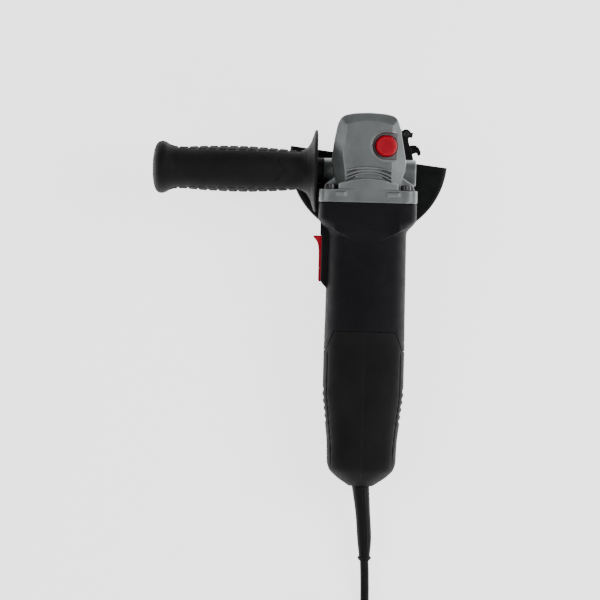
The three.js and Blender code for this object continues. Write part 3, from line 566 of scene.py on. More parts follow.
# Where the coil's turns change radius and height: (turns so far, metres). Between rows they ease across.
TURN_RADIUS = [
    (0, 0.0451), (0.65, 0.0451), (1.0, 0.0381), (1.65, 0.0381), (2.0, 0.0311), (4.1, 0.0311),
    (4.45, 0.0381), (5.77, 0.0381), (6.12, 0.0451), (7.25, 0.0451),
]
TURN_HEIGHT = [
    (0, 0.00355), (2.35, 0.00355), (2.65, 0.0106), (3.35, 0.0106), (3.65, 0.01765), (4.97, 0.01765),
    (5.27, 0.0106), (6.64, 0.0106), (6.94, 0.01765), (7.25, 0.01765),
]
POINTS_PER_TURN = 48


def eased(before, after, share):
    return before + (after - before) * share * share * (3 - 2 * share)


def at_turn(rows, turn):
    """The value of a schedule after some turns."""
    for (start, before), (end, after) in zip(rows, rows[1:]):
        if turn <= end:
            return eased(before, after, (turn - start) / (end - start))
    return rows[-1][1]


def coil_points():
    """The coil's centreline. It is wound clockwise from its +X side."""
    points = []
    count = round(TURN_RADIUS[-1][0] * POINTS_PER_TURN)
    for i in range(count):
        turn = i / POINTS_PER_TURN
        radius = at_turn(TURN_RADIUS, turn)
        angle = -turn * math.tau
        x, y = COIL_CENTRE[0] + radius * math.cos(angle), COIL_CENTRE[1] + radius * math.sin(angle)
        points.append((x, y, at_turn(TURN_HEIGHT, turn)))
    return points


def cord_points():
    """From the boot, along the floor, round the coil and into the plug."""
    outer, floor = TURN_RADIUS[0][1], TURN_HEIGHT[0][1]
    top = TURN_HEIGHT[-1][1]
    route = CORD_ROUTE + [(COIL_CENTRE[0] + outer, y, floor) for y in (-0.250, -0.256, -0.263)]
    run_out = 8  # steps from the coil to the plug
    leaving = []
    for i in range(run_out + 1):
        share = i / run_out
        x = COIL_CENTRE[0] + (PLUG_AT[0] - COIL_CENTRE[0]) * share
        late = max(0.0, (share - 0.35) / 0.65)
        leaving.append((x, COIL_CENTRE[1] - outer, eased(top, PLUG_AT[2], late)))
    return route + coil_points() + leaving


def add_cord():
    points = cord_points()
    data = bpy.data.curves.new("cord", "CURVE")
    data.dimensions = "3D"
    data.bevel_depth = CORD_RADIUS
    data.bevel_resolution = 6
    data.use_fill_caps = True
    spline = data.splines.new("POLY")
    spline.points.add(len(points) - 1)
    for point, place in zip(spline.points, points):
        point.co = (*place, 1)
    spline.use_smooth = True
    made = finished(placed("cord", data), "cord", "tool_body", "rubber", ["cord_tube", "cord_coil"])
    return made, sum(math.dist(a, b) for a, b in zip(points, points[1:]))


cord, cord_length = add_cord()


def in_row(made):
    """A piece drawn in millimetres in the row's frame, carried into metres."""
    return moved(made, Matrix.Scale(MM, 4))


def add_plug():
    """A flat two-pin plug with finger grooves."""
    x, y, z = (part / MM for part in PLUG_AT)
    stations = [
        (0, 4.6, 4.6, -4.6, 2), (10, 5.2, 5.2, -5.2, 2), (16.5, 6.2, 6.2, -6.2, 2),
        (20, 10.6, 9.2, -9.2, 2.4), (26, 16.2, 12.4, -12.4, 2.8), (34, 17.6, 13.4, -13.4, 3),
        (43, 17.2, 13.2, -13.2, 3), (44, 16.4, 12.4, -12.4, 3),
    ]
    body = loft([(-along, *rest) for along, *rest in stations], 0.6, 2.4, 96)
    moved(body, Matrix.Translation((x, y, z)) @ Matrix.Rotation(math.radians(-90), 4, "Z"))
    grooves = []
    for span in ((y - 30, y - 15.4), (y + 15.4, y + 30)):
        grooves += [block((x - a - 1.2, x - a), span, (0, 40)) for a in (27, 30, 33, 36)]
    slits = [ring((4.2, 8), "x", (x - a - 1.0, x - a), 48) for a in (5, 8.5, 12)]
    for slit in slits:
        moved(slit, Matrix.Translation((0, y, z)))
    cast(cut(body, *grooves, *slits), 0.5, 4)
    made = finished(in_row(body), "plug_body_look", "tool_body", "rubber", ["plug_body"])
    pins = []
    for number, side in ((1, 1), (2, -1)):
        low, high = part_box(f"plug_pin_{number}")
        radius = (high[2] - low[2]) / 2 / MM
        tip, root = low[0] / MM, high[0] / MM
        outline = [(0, tip), (radius, tip, 1.6), (radius, root), (0, root)]
        pin = moved(turned(outline, "x", 48, 0.01), Matrix.Translation((0, y + side * 9.5, z)))
        name = f"plug_pin_{number}"
        pins.append(finished(in_row(pin), f"{name}_look", "tool_body", "bright_steel", [name]))
    return [made, *pins]


def add_tie():
    """A hook-and-loop strap round the coil's turns."""
    inner, outer, top = 26.8, 49.3, 22.05  # round the coil's turns, with room for the lead
    outside = rounded_rectangle((-outer, -inner), (0.05, top), 4.5)
    inside = rounded_rectangle((-outer + 1.1, -inner - 1.1), (1.15, top - 1.1), 3.6)
    band = cut(prism(outside, "y", (-6, 6)), prism(inside, "y", (-7, 7)))
    tab = prism(rounded_rectangle((-outer + 5, -outer + 19), (top - 0.2, top + 0.8), 0.4), "y", (-5.6, 5.6))
    made = turned_z(edged(join(band, tab), 0.3), -35)
    moved(made, Matrix.Translation((COIL_CENTRE[0] / MM, COIL_CENTRE[1] / MM, 0)))
    return finished(in_row(made), "cord_tie", "tool_body", "rubber", [])


plug_pieces = add_plug()
cord_tie = add_tie()

# ---------------- floor and light

FLOOR_HALF = 3.0
FLOOR_DEPTH = 0.02
FLOOR_GLOW = 2.1
SKY = 0.1


def bright_floor():
    """A pale sheet that is lit from below, as on a light table."""
    color = (0.95, 0.95, 0.95)
    look = Look("floor", color, 0.9, specular=0.1)
    look.color(look.colors(look.noise(4), (0.4, shade(color, 0.995)), (0.6, color)))
    fill(look.shader, Emission_Color=(1, 1, 1, 1), Emission_Strength=FLOOR_GLOW)
    return look.material


def add_floor():
    low = min(cad_bounds[0][2], 0.0)
    made = block((-FLOOR_HALF, FLOOR_HALF), (-FLOOR_HALF, FLOOR_HALF), (low - FLOOR_DEPTH, low))
    made.name = "floor"
    made.data.materials.append(bright_floor())


def add_area_light(name, place, aim, size, power):
    data = bpy.data.lights.new(name, "AREA")
    data.shape = "RECTANGLE"
    data.size, data.size_y = size
    data.energy = power
    lamp = placed(name, data)
    place, aim = Vector(place), Vector(aim)
    turn = (aim - place).to_track_quat("-Z", "Y").to_matrix().to_4x4()
    lamp.matrix_world = Matrix.Translation(place) @ turn


def add_world():
    world = bpy.data.worlds.new("sky")
    world.use_nodes = True
    fill(world.node_tree.nodes["Background"], Color=(1, 1, 1, 1), Strength=SKY)
    bpy.context.scene.world = world


add_floor()
add_world()
TOOL_MIDDLE = TO_ROW @ Vector((-20, -110, 0))
add_area_light("key", TOOL_MIDDLE + Vector((0.9, 0.1, 1.1)), TOOL_MIDDLE, (0.9, 0.9), 11)
add_area_light("fill", TOOL_MIDDLE + Vector((-0.8, 0.0, 1.3)), TOOL_MIDDLE, (1.2, 0.8), 6.8)
add_area_light("tail", TOOL_MIDDLE + Vector((0.2, -1.1, 0.9)), TOOL_MIDDLE, (1.0, 0.6), 4.5)

# ---------------- shared details


def lobed(radius):
    """The outline of a six-lobed screw recess."""
    count, lobes, depth = 60, 6, 0.16
    points = []
    for i in range(count):
        angle = i * math.tau / count
        reach = radius * (1 - depth * (1 - math.cos(lobes * angle)) / 2)
        points.append((reach * math.cos(angle), reach * math.sin(angle)))
    return points


def screw(at, axis, face, end, head, deep, shank):
    """A pan-head screw with a six-lobed recess. It runs from its head's face to its end along an axis."""
    way = 1 if end > face else -1
    outline = [
        (0, face), (head, face, 0.7), (head, face + way * deep, 0.2), (shank, face + way * deep, 0.2),
        (shank, end, 0.5), (0, end),
    ]
    made = turned(outline, axis, 48, 0.3)
    recess = prism(lobed(head * 0.58), axis, sorted((face - way * 0.5, face + way * 1.6)))
    cut(made, recess)
    return moved(made, Matrix.Translation(in_axes(axis, *at, 0)))


def add_screws(name, places, *shape):
    for number, at in enumerate(places, 1):
        fitted(screw(at, *shape), f"{name}_{number}", "tool_body", "tool_steel")


def threaded(radius, pitch, depth, span, axis):
    """A threaded rod with chamfered ends."""
    low, high = span
    step, per_turn = 0.2, 48
    count = int((high - low) / step)
    along = []
    for i in range(count + 1):
        place = low + (high - low) * i / count
        end = min(place - low, high - place)
        along.append((place, min(1.0, 0.84 + end * 0.09)))

    def radius_at(place, angles):
        phase = (place / pitch - angles / math.tau) % 1.0
        return radius - depth * np.abs(2 * phase - 1)

    return skin(along, radius_at, axis, per_turn)


# ---------------- gear head

# The head's sides from above, as distance from the middle and Y, from the nose back. They share their rear.
PLAN_REAR = [(29.5, -4), (28, -12), (26, -18), (26, -27)]
PLAN_LEFT = [(12, 35.3), (20, 33.6), (23.5, 31), (25.8, 26), (28, 14), (29.5, 2), *PLAN_REAR]
PLAN_RIGHT = [(12, 35.2), (18.8, 33.8), (21.8, 31.5), (24, 26), (26.5, 14), (28.8, 2), *PLAN_REAR]
LOUVRES = [(-8.6, -11.4), (-10.7, -15.8), (-12.9, -18.7)]  # Y of each slot's front edge: middle, ends


def arc_at(x, middle, end):
    """Y at x on a shallow arc that falls from its middle to its ends."""
    return middle + (end - middle) * (x / HEAD_FLAT) ** 2


def crescent(middle, end, width_middle, width_end, span, lift=0.0, reach=17.8):
    """An arched strip across the head, wider at its ends."""
    xs = np.linspace(-reach, reach, 25)
    front = [(x, arc_at(x, middle, end) + lift) for x in xs]
    back = []
    for x in xs[::-1]:
        share = abs(x / HEAD_FLAT) ** 1.5
        width = width_middle + (width_end - width_middle) * share
        back.append((x, arc_at(x, middle, end) + lift - width))
    return prism(front + back, "z", span)


def recess_outline(radius, open_to):
    """A round recess that opens straight to one side."""
    x, y = BUTTON
    arc = circle(radius, (0, 0), 48, math.pi / 2)[:25]
    return [(x + u, y + v) for u, v in arc] + [(open_to, y - radius), (open_to, y + 0.84 * radius)]


def side_facets():
    """The space under the head's flat top and side facets. The left facet's crease bulges outwards."""
    rings = []
    for y in np.linspace(-39, 39, 53):
        left = HEAD_FLAT + 2.2 * math.exp(-(((y - 4) / 13) ** 2))
        rings.append([
            (HEAD_HALF, y, HEAD_BOTTOM - 1), (HEAD_HALF, y, HEAD_FLAT), (HEAD_FLAT, y, HEAD_TOP),
            (-left, y, HEAD_TOP), (-HEAD_HALF, y, HEAD_FLAT), (-HEAD_HALF, y, HEAD_BOTTOM - 1),
        ])
    return through(rings)


def nose_bevel():
    """The space behind the nose's bevel, whose upper crease is an arc."""
    rings = []
    for x in np.linspace(-38, 38, 39):
        sag = 3.6 * (x / HEAD_FLAT) ** 2
        rings.append([
            (x, -40, HEAD_BOTTOM - 1), (x, 37, HEAD_BOTTOM - 1), (x, 37, 22),
            (x, 35.2 - 0.5 * sag, 25), (x, 29.3 - sag, HEAD_TOP), (x, -40, HEAD_TOP),
        ])
    return through(rings)


def neck_plan():
    """The plan of the domed neck: its front edge is a shallow arc."""
    front = [(x, -16.9 - 4.5 * (x / 24) ** 2) for x in np.linspace(-24, 24, 33)]
    return [*front, (24, -30), (-24, -30)]


def gear_housing():
    plan = soft([(0, 36), *PLAN_RIGHT, *[(-u, v) for u, v in reversed(PLAN_LEFT)]], 2.0)
    body = common(side_facets(), nose_bevel(), prism(plan, "z", (HEAD_BOTTOM, HEAD_TOP + 1)))
    crown = prism(circle(DOME_RADIUS, (0, DOME_TOP - DOME_RADIUS), 360), "y", (-40, 0))
    neck = common(prism(neck_plan(), "z", (20, 40)), crown)
    back = rounded_rectangle((-COLLAR_HALF, COLLAR_HALF), (-34, 34.5), 9)
    flange = prism(back, "y", (JOINT_Y, HEAD_BACK))
    sockets = [rod(BOSS_RADIUS, "x", span, SOCKET, 64) for span in ((18, SOCKET_RIGHT), (SOCKET_LEFT, -18))]
    web = [(22, -12.5), (35.8, -21.5), (37.5, -27), (22, -27)]
    webs = [prism(web, "z", (-20, 20)), prism([(-u * 0.96, v) for u, v in web], "z", (-20.01, 20.01))]
    tabs = [block(span, (-31, -27.9), (33, 35.9)) for span in ((-25.6, -18), (15, 25))]
    ridge_span = (28, HEAD_TOP + 0.9)
    ridges = [crescent(m, e, 0.9, 1.1, ridge_span, lift=1.0, reach=18.0) for m, e in LOUVRES]
    rim = cut(
        prism(recess_outline(12.1, HEAD_FLAT + 3.6), "z", (25, HEAD_TOP + 0.5)),
        prism(recess_outline(11, 40), "z", (24, 32)),
    )
    join(body, neck, flange, *sockets, *webs, *tabs, *ridges, rim)

    hollow = turned([(0, 25), (15, 25), (26, 14), (26, HEAD_BOTTOM - 1), (0, HEAD_BOTTOM - 1)], "z", 64)
    cut(hollow, rod(12, "z", (5, 26)), rod(11.2, "z", (10, 26), BUTTON))
    seat = [(0, JOINT_Y - 1), (11.3, JOINT_Y - 1), (11.3, -27.2), (8.8, -27.2), (8.8, -18), (0, -18)]
    angles = [math.radians(54 + i * 6) for i in range(13)]
    duct = [(29.1 * math.cos(a), 29.1 * math.sin(a)) for a in angles]
    duct += [(27 * math.cos(a), 27 * math.sin(a)) for a in reversed(angles)]
    cut(
        body, hollow, turned(seat, "y", 48), prism(duct, "y", (JOINT_Y - 1, -8)),
        *[crescent(m, e, 0.3, 2.1, (27.8, 34)) for m, e in LOUVRES],
        rod(8.3, "z", (4, 14.5)),
        prism(recess_outline(11, 32), "z", (26, 34)),
        rod(BUTTON_RADIUS + 0.4, "z", (WELL_FLOOR, 30), BUTTON, 64),
        rod(2.6, "z", (8, 22), BUTTON, 32),
        rod(SOCKET_HOLE, "x", (26, SOCKET_RIGHT + 1), SOCKET),
        rod(SOCKET_HOLE, "x", (SOCKET_LEFT - 1, -25.1), SOCKET),
        *[rod(2.5, "y", (JOINT_Y - 1, HEAD_BACK + 1), at, 32) for at in HEAD_SCREWS],
        *[rod(4.6, "y", (HEAD_BACK, -16), at) for at in HEAD_SCREWS],
        *[rod(2.3, "z", (HEAD_BOTTOM - 1, -12), at, 32) for at in COVER_SCREWS],
    )
    return cast(body, 0.5, 3)


def bearing_cover():
    plate = prism(rounded_rectangle((-26, 26), (-25.6, 26), 6), "z", (COVER_BOTTOM, HEAD_BOTTOM - GAP))
    cup = ring((16.3, 19), "z", (HEAD_BOTTOM - GAP - 1, -17), 64)
    neck = rod(NECK_RADIUS, "z", (GUARD_TOP + 0.1, COVER_BOTTOM + 1), (0, 0), 128)
    inside = [(0, -16), (16.3, -16), (16.3, -28.8), (13, -28.8), (13, GUARD_TOP), (0, GUARD_TOP)]
    body = cut(
        join(plate, cup, neck), turned(inside, "z"),
        *[rod(2.3, "z", (COVER_BOTTOM - 1, HEAD_BOTTOM), at, 32) for at in COVER_SCREWS],
        *[rod(4, "z", (COVER_BOTTOM - 1, COVER_BOTTOM + 3.2), at) for at in COVER_SCREWS],
    )
    return edged(body, 0.5)


def lock_button():
    outline = [
        (0, 32.2), (5.6, 32.2, 1.2), (7.4, 31.7, 1.2), (BUTTON_RADIUS, 30.2, 1.0),
        (BUTTON_RADIUS, 24.2, 0.3), (6.5, 24.2, 0.3), (6.5, 29.5, 0.3), (0, 29.5),
    ]
    cap = turned(outline, "z", radius=0.5)
    cut(cap, ring((6.2, 6.7), "z", (31.75, 33)))
    return moved(cap, Matrix.Translation((*BUTTON, 0)))


def lock_spring():
    """A helical spring that stands on the well's floor under the button."""
    turns, per_turn, wire, radius = 4, 24, 0.4, 3.6
    low, high = WELL_FLOOR + 0.8, 28.7
    x, y = BUTTON
    count = per_turn * turns
    rings = []
    for i in range(count + 1):
        angle = i / per_turn * math.tau
        height = low + (high - low) * i / count
        rings.append([
            (x + (radius + u) * math.cos(angle), y + (radius + u) * math.sin(angle), height + v)
            for u, v in circle(wire, (0, 0), 10)
        ])
    return through(rings)


fitted(gear_housing(), "gear_housing", "tool_body", "cast_aluminium")
fitted(bearing_cover(), "bearing_cover", "tool_body", "cast_aluminium")
fitted(lock_button(), "lock_button", "lock_button", "red_plastic")
spring = fitted(lock_spring(), "lock_spring", "tool_body", "bright_steel")
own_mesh(spring)
add_screws("cover_screw", COVER_SCREWS, "z", COVER_BOTTOM + 0.2, -13, 3.6, 2.7, 2)
add_screws("head_screw", HEAD_SCREWS, "y", -21.6, -44, 4, 4.1, 2.2)

# ---------------- spindle and wheel clamp


def spindle():
    outline = [
        (0, 13.5), (6, 13.5, 0.8), (6, -28.9), (9, -28.9), (9, -45.7), (6.2, -45.7, 0.2), (6.2, -47, 0.2),
        (0, -47),
    ]
    shaft = turned(outline, "z", 64, 0.3)
    return join(shaft, threaded(THREAD_RADIUS, 2.0, 1.1, (SPINDLE_END, -46.5), "z"))


def inner_flange():
    outline = [
        (7.2, -46), (12, -46), (13, -48), (19, -48), (FLANGE_RADIUS, -48.5), (FLANGE_RADIUS, SEAT),
        (11.1, SEAT), (11.1, -54), (7.2, -54),
    ]
    flats = [block(span, (-20, 20), (-47.9, -44)) for span in ((12.2, 25), (-25, -12.2))]
    return cut(turned(outline, "z", radius=0.3), *flats)


def clamp_nut():
    outline = [
        (7.2, -54.3), (FLANGE_RADIUS, -54.3), (FLANGE_RADIUS, -58.5), (18.5, -59.5), (13, -59.5), (12, -61),
        (7.2, -61),
    ]
    holes = [rod(2.5, "z", (-62, -53), at) for at in circle(15.5, (0, 0), 4, math.pi / 4)]
    return edged(cut(turned(outline, "z"), *holes), 0.25)


fitted(spindle(), "spindle", "spindle", "bright_steel")
fitted(inner_flange(), "inner_flange", "spindle", "bright_steel")
fitted(clamp_nut(), "clamp_nut", "clamp_nut", "bright_steel")

# ---------------- motor housing and rear covers

BODY = [
    (JOINT_Y, 31.4, 31.5, -32.5, 2.8), (-50, 31.4, 31.5, -32.5, 2.8), (-100, 31.8, 32, -33, 2.8),
    (-130, 32, 32, -33, 2.8), (-154, 32.4, 32, -33, 2.8), (-190, 32.4, 31.4, -33, 2.8),
    (-202, 31, 30.6, -32.7, 2.7), (-214, 29.6, 29.6, -32.2, 2.7), (-226, 28.2, 28.6, -31.4, 2.7),
    (-244, 27.6, 27.4, -30, 2.7), (-250, 25.8, 25.8, -28.4, 2.6), (-256, 19.4, 20, -22.2, 2.4),
    (-260.5, 12.5, 13, -14, 2.2), (TAIL, 9.5, 9.5, -9.5, 2),
]
VENTS = [-186, -192, -198, -204, -210]  # Y of the vents' middles


def seam(back):
    """The plan of the seam between motor housing and rear covers, moved back by some clearance."""
    side, flat = 30.2 - back * 0.7, 24 - back * 0.7
    front, rear = -139 - back, -154 - back
    return [(WIDE, rear), (side, rear), (flat, front), (-flat, front), (-side, rear), (-WIDE, rear)]


def resized(stations, grow):
    return [(y, half + grow, top + grow, bottom - grow, n) for y, half, top, bottom, n in stations]


def barrel(grow=0.0):
    return loft(resized(BODY, grow), 1.5, 4.5)


def scored(tool, depth):
    """The part of a cutting tool that lies within some depth under the barrel's surface."""
    return cut(tool, barrel(-depth))


def shield_slope():
    """The space above the shield's sloping face: it falls from a shallow arc to the shield's edge."""
    rings = []
    for x in np.linspace(-26, 26, 41):
        top = -59 - 2.8 * (x / 20.4) ** 2
        edge = -67 if abs(x) < 10 else -67 + (abs(x) - 10) * 0.5
        edge = min(edge, top - 0.4)
        rings.append([
            (x, top, 34.45), (x, edge - 0.3, 31.6), (x, edge - 3, 31.6), (x, edge - 3, 38), (x, top, 38),
        ])
    return through(rings)


def motor_housing():
    front = prism([(WIDE, JOINT_Y - GAP), *seam(0), (-WIDE, JOINT_Y - GAP)], "z", TALL)
    body = common(barrel(), front)
    collar = loft(
        [
            (JOINT_Y - GAP, COLLAR_HALF, 34.5, -34, 6), (-50, COLLAR_HALF, 34.8, -34.4, 6),
            (-54, 36, 34, -34, 5), (-58, 32, 33, -33.4, 3.4), (-64, 31, 31, -32, 2.8),
        ],
        0.7, 1.4,
    )
    half_plan = [(20.4, -61.8), (COLLAR_HALF - 0.5, -51.5), (COLLAR_HALF, -45)]
    plan = [(-x, y) for x, y in reversed(half_plan)] + [(-10, -67), (10, -67)] + half_plan
    outline = [
        (-34, 24), (-26, 34.4), (26, 34.4), (34, 24), (34, -24), (26, -34.2), (-26, -34.2), (-34, -24),
    ]
    shield = common(prism(plan, "z", (-36, 36)), prism(outline, "y", (-70, -40)))
    cut(shield, shield_slope())
    bulge_plan = soft([(-25, -46), (-36.25, -46), (-36.25, -100), (-31.6, -105), (-25, -105)], 1.5)
    bulge = prism(bulge_plan, "z", (-13, 13))
    guides = [block((-37.4, -30), (-62.5, -46), span) for span in ((-13, -8.6), (8.6, 13))]
    join(body, collar, shield, bulge, *guides)
    line = prism([*seam(-4.2), *reversed(seam(-4.8))], "z", TALL)
    cut(
        body,
        scored(line, 0.45),
        rod(BORE, "y", (-156, JOINT_Y + 1), (0, 0), 128),
        block((-30.1, -27), (-155, -66), (-3.4, 3.4)),
        block((-38, -26), (-90.3, -68.7), (-3.4, 3.4)),
        *[rod(2.5, "y", (-45, JOINT_Y + 1), at, 32) for at in HEAD_SCREWS],
    )
    return cast(body, 0.62, 4)


def rear_covers():
    """Both rear covers, from one body that is split along its middle."""
    body = barrel()
    inset = resized(BODY[3:-3], -WALL)
    inside = loft([*inset, (-252, 21.5, 21.5, -24, 2.4), (-257.5, 13.5, 13.5, -15, 2.2)], 1.5, 3.0, 96)
    bosses = [common(rod(4, "x", (-WIDE, WIDE), at), barrel(-0.2)) for at in REAR_SCREWS]
    join(cut(body, inside), *bosses)
    behind = TAIL - 7.5
    common(body, prism([*seam(0.1), (-WIDE, behind), (WIDE, behind)], "z", TALL))
    vents, lines = [], []
    strip = [
        (28.4, -155.5), (29.5, -155.5), (29.5, -190), (25.5, -228), (24.8, -247), (23.7, -247),
        (24.4, -228), (28.4, -190),
    ]
    for side in (-1, 1):
        lines.append(scored(prism([(side * u, v) for u, v in strip], "z", (0, TALL[1])), 1.0))
        span = sorted((side * 45, side * 22))
        slots = [rounded_rectangle((y - 1.3, y + 1.3), (-11, 11), 1.2, 4) for y in VENTS]
        vents += [prism(slot, "x", span) for slot in slots]
    cut(
        body, *vents, *lines, rod(7.4, "y", (-265, -250), (0, 0), 64),
        *[rod(1.9, "x", (-12, 30), at, 32) for at in REAR_SCREWS],
        *[rod(3.7, "x", (19.7, WIDE), at) for at in REAR_SCREWS],
    )
    cast(body, 0.62, 4)
    halves = []
    for side, name in ((-1, "left"), (1, "right")):
        half = placed(name, body.data.copy())
        span = sorted((side * COVER_GAP / 2, side * WIDE))
        halves.append((common(half, block(span, (behind, -130), TALL)), name))
    bpy.data.objects.remove(body)
    return halves


fitted(motor_housing(), "motor_housing", "tool_body", "black_plastic")
for made, name in rear_covers():
    fitted(made, f"rear_cover_{name}", "tool_body", "rear_plastic")
add_screws("rear_screw", REAR_SCREWS, "x", 23.6, -11, 3.3, 3.5, 1.6)

# ---------------- switch


def switch_slider():
    outline = [
        (-36.2, -63), (-43, -63, 0.8), (-42.6, -64.6, 0.4), (-40.2, -67, 2), (-38.9, -70.5, 2),
        (-38.3, -76, 2), (-38.3, -98.5, 1), (-37.6, -99.9, 0.8), (-36.2, -99.9),
    ]
    body = prism(soft(outline, 0.2), "z", (-8, 8))
    ridge = [(-41, 0), (-37.9, 0), (-37.9, -0.9), (-41, -0.9)]
    grooves = [prism([(u, y + v) for u, v in ridge], "z", (-5.6, 5.6)) for y in range(-94, -73, 3)]
    cut(body, *grooves)
    join(body, block((-36.7, -29.9), (-90, -75), (-3, 3)))
    return edged(body, 0.35)


fitted(switch_slider(), "switch_slider", "switch", "red_plastic")

# ---------------- cord boot


BOOT_ROOT = -252.5
BOOT_FLANGE = -256.3  # the rear face of the flange inside the tail
BOOT_LINES = (1.15, 5.1)  # angles of the raised mould lines, which fade out at both ends


def boot_bend(y):
    """How far right the boot's middle is: not at all at the tail and furthest at its end."""
    share = min(max(0.0, (TAIL - y) / (TAIL - BOOT_END)), 1.0)
    return BOOT_BEND * math.sin(share * math.pi / 2)


def cord_boot():
    outline = soft(
        [
            (0, BOOT_ROOT), (10, BOOT_ROOT), (10, BOOT_FLANGE), (7, BOOT_FLANGE), (7, -264, 1),
            (6.8, -266, 1), (5.9, -284, 6), (5.8, -305, 6), (4.4, -318.2, 1), (5.5, -319.0, 0.4),
            (5.5, -320.6, 0.4), (4.9, BOOT_END, 0.2), (0, BOOT_END),
        ],
        0.3, closed=False,
    )
    radii, places = np.array(outline)[::-1].T
    along = [(BOOT_END, 0.0)] + [(y, 1.0) for y in np.arange(BOOT_END, BOOT_FLANGE - 0.1, 0.5)]

    def radius_at(place, angles):
        fade = np.clip((place + 315) / 6, 0, 1) * np.clip((-262 - place) / 3, 0, 1)
        lines = sum(np.exp(-(((angles - at) / 0.09) ** 2)) for at in BOOT_LINES)
        return np.interp(place, places, radii) + 0.35 * fade * lines

    body = skin(along, radius_at, "y", 120)
    rim = [(0, BOOT_ROOT), (10, BOOT_ROOT), (10, BOOT_FLANGE), (6.9, BOOT_FLANGE), (6.9, -258), (0, -258)]
    lip = ring((CORD_RADIUS / MM + 0.12, 4.6), "y", (BOOT_END - 0.9, BOOT_END + 0.4))
    join(body, turned(rim, "y", 64), lip)
    for vertex in body.data.vertices:
        vertex.co.x += boot_bend(vertex.co.y)
    return body


fitted(cord_boot(), "cord_boot", "tool_body", "rubber")

# ---------------- guard


def guard_shell():
    """Half a turn of sheet, whose straight ends stand a little past the spindle's axis."""
    outer, inner, bore = GUARD_RADIUS, GUARD_RADIUS - GUARD_SHEET, NECK_RADIUS + 0.6
    under, lip_top = GUARD_TOP - GUARD_SHEET, GUARD_RIM + 1.4
    outline = soft(
        [
            (bore, GUARD_TOP, 0.2), (outer, GUARD_TOP, 2.6), (outer, GUARD_RIM, 0.9),
            (GUARD_LIP, GUARD_RIM, 0.5), (GUARD_LIP, lip_top, 0.5), (inner, lip_top, 0.4),
            (inner, under, 1.6), (bore, under, 0.2),
        ],
        0.5, steps=6,
    )
    rings = []
    steps, past = 140, 1.5
    for i in range(steps + 1):
        share = i / steps
        corners = []
        for radius, z in outline:
            spare = math.asin(past / radius)
            angle = math.pi - spare + share * (math.pi + 2 * spare)
            corners.append((radius * math.cos(angle), radius * math.sin(angle), z))
        rings.append(corners)
    return turned_z(through(rings), GUARD_TURN)


def lug_eye():
    """The lever's axis in the frame of the band and its bolt, before they are turned by BOLT_LEAN."""
    return Matrix.Rotation(math.radians(-BOLT_LEAN), 2) @ Vector(LEVER_AXIS)


def guard_band():
    """A clamp round the cover's neck, with a lug on each side of its slot."""
    low, high = GUARD_TOP + GAP, BAND_TOP
    band = ring((NECK_RADIUS + GAP, NECK_RADIUS + 2.3), "z", (low, high), 128)
    cut(band, block((15.5, 18.9), (0, 30), (-45, -30)))
    for root, span in ((17, (13, 15.5)), (9.6, (18.9, 21.3))):
        lug = soft([(root, low), (28.6, low, 2), (28.6, high, 2), (root, high)], 0)
        join(band, prism(lug, "x", span))
    cut(band, rod(2.5, "x", (8, 30), (lug_eye().y, BOLT_Z)))
    return turned_z(cast(band, 0.25, 2), BOLT_LEAN)


def clamp_bolt():
    x, y = lug_eye()
    made = join(
        rod(2.2, "x", (12, x + 5.5), (y, BOLT_Z)),
        edged(prism(circle(3.2, (y, BOLT_Z), 6), "x", (9.8, 12.7)), 0.3),
        edged(rod(3.2, "z", (BOLT_Z - 2.2, BOLT_Z + 2.2), (x, y), 64), 0.4),
    )
    return cut(turned_z(made, BOLT_LEAN), rod(1.8, "z", (-50, -25), LEVER_AXIS))


def guard_lever():
    bar = soft(
        [
            (26.4, 22.8), (28.2, 24.2), (30.6, 24.2), (31.7, 14.5), (36, 0), (34.6, -1), (28.4, -1),
            (27.4, 0), (25.9, 11), (25.8, 18),
        ],
        0.8,
    )
    tab = soft(
        [
            (31, 4), (31.6, 10.8), (35, 11.8), (37.7, 11.5), (40.2, 9.5), (41.7, 6.2), (41.6, 4),
            (40.2, 3.1), (39, 3.6), (38.8, 5.2), (37.4, 5.6), (35.8, 4.6),
        ],
        0.7,
    )
    low, high = -42, -32.6
    eye = rod(3.9, "z", (low, high), LEVER_AXIS, 64)
    made = join(prism(bar, "z", (low, high)), prism(tab, "z", (low + 1, high - 1)), eye)
    fork = rod(8.6, "z", (BOLT_Z - 2.6, BOLT_Z + 2.6), LEVER_AXIS, 64)
    cut(made, fork, rod(1.6, "z", (-50, -25), LEVER_AXIS))
    return cast(made, 0.2, 2)


def lever_pin():
    """A rivet with a low head at each end."""
    outline = [
        (0, -31.9), (2.3, -31.9, 0.4), (2.3, -32.4, 0.2), (1.5, -32.4), (1.5, -42.1), (2.3, -42.1, 0.2),
        (2.3, -42.6, 0.4), (0, -42.6),
    ]
    return moved(turned(outline, "z", 48, 0.1), Matrix.Translation((*LEVER_AXIS, 0)))


fitted(guard_shell(), "guard_shell", "guard", "black_steel")
fitted(guard_band(), "guard_band", "guard", "black_steel")
fitted(clamp_bolt(), "clamp_bolt", "guard", "black_steel")
fitted(lever_pin(), "lever_pin", "guard", "tool_steel")
fitted(guard_lever(), "guard_lever", "guard_lever", "black_steel")

# ---------------- side handle

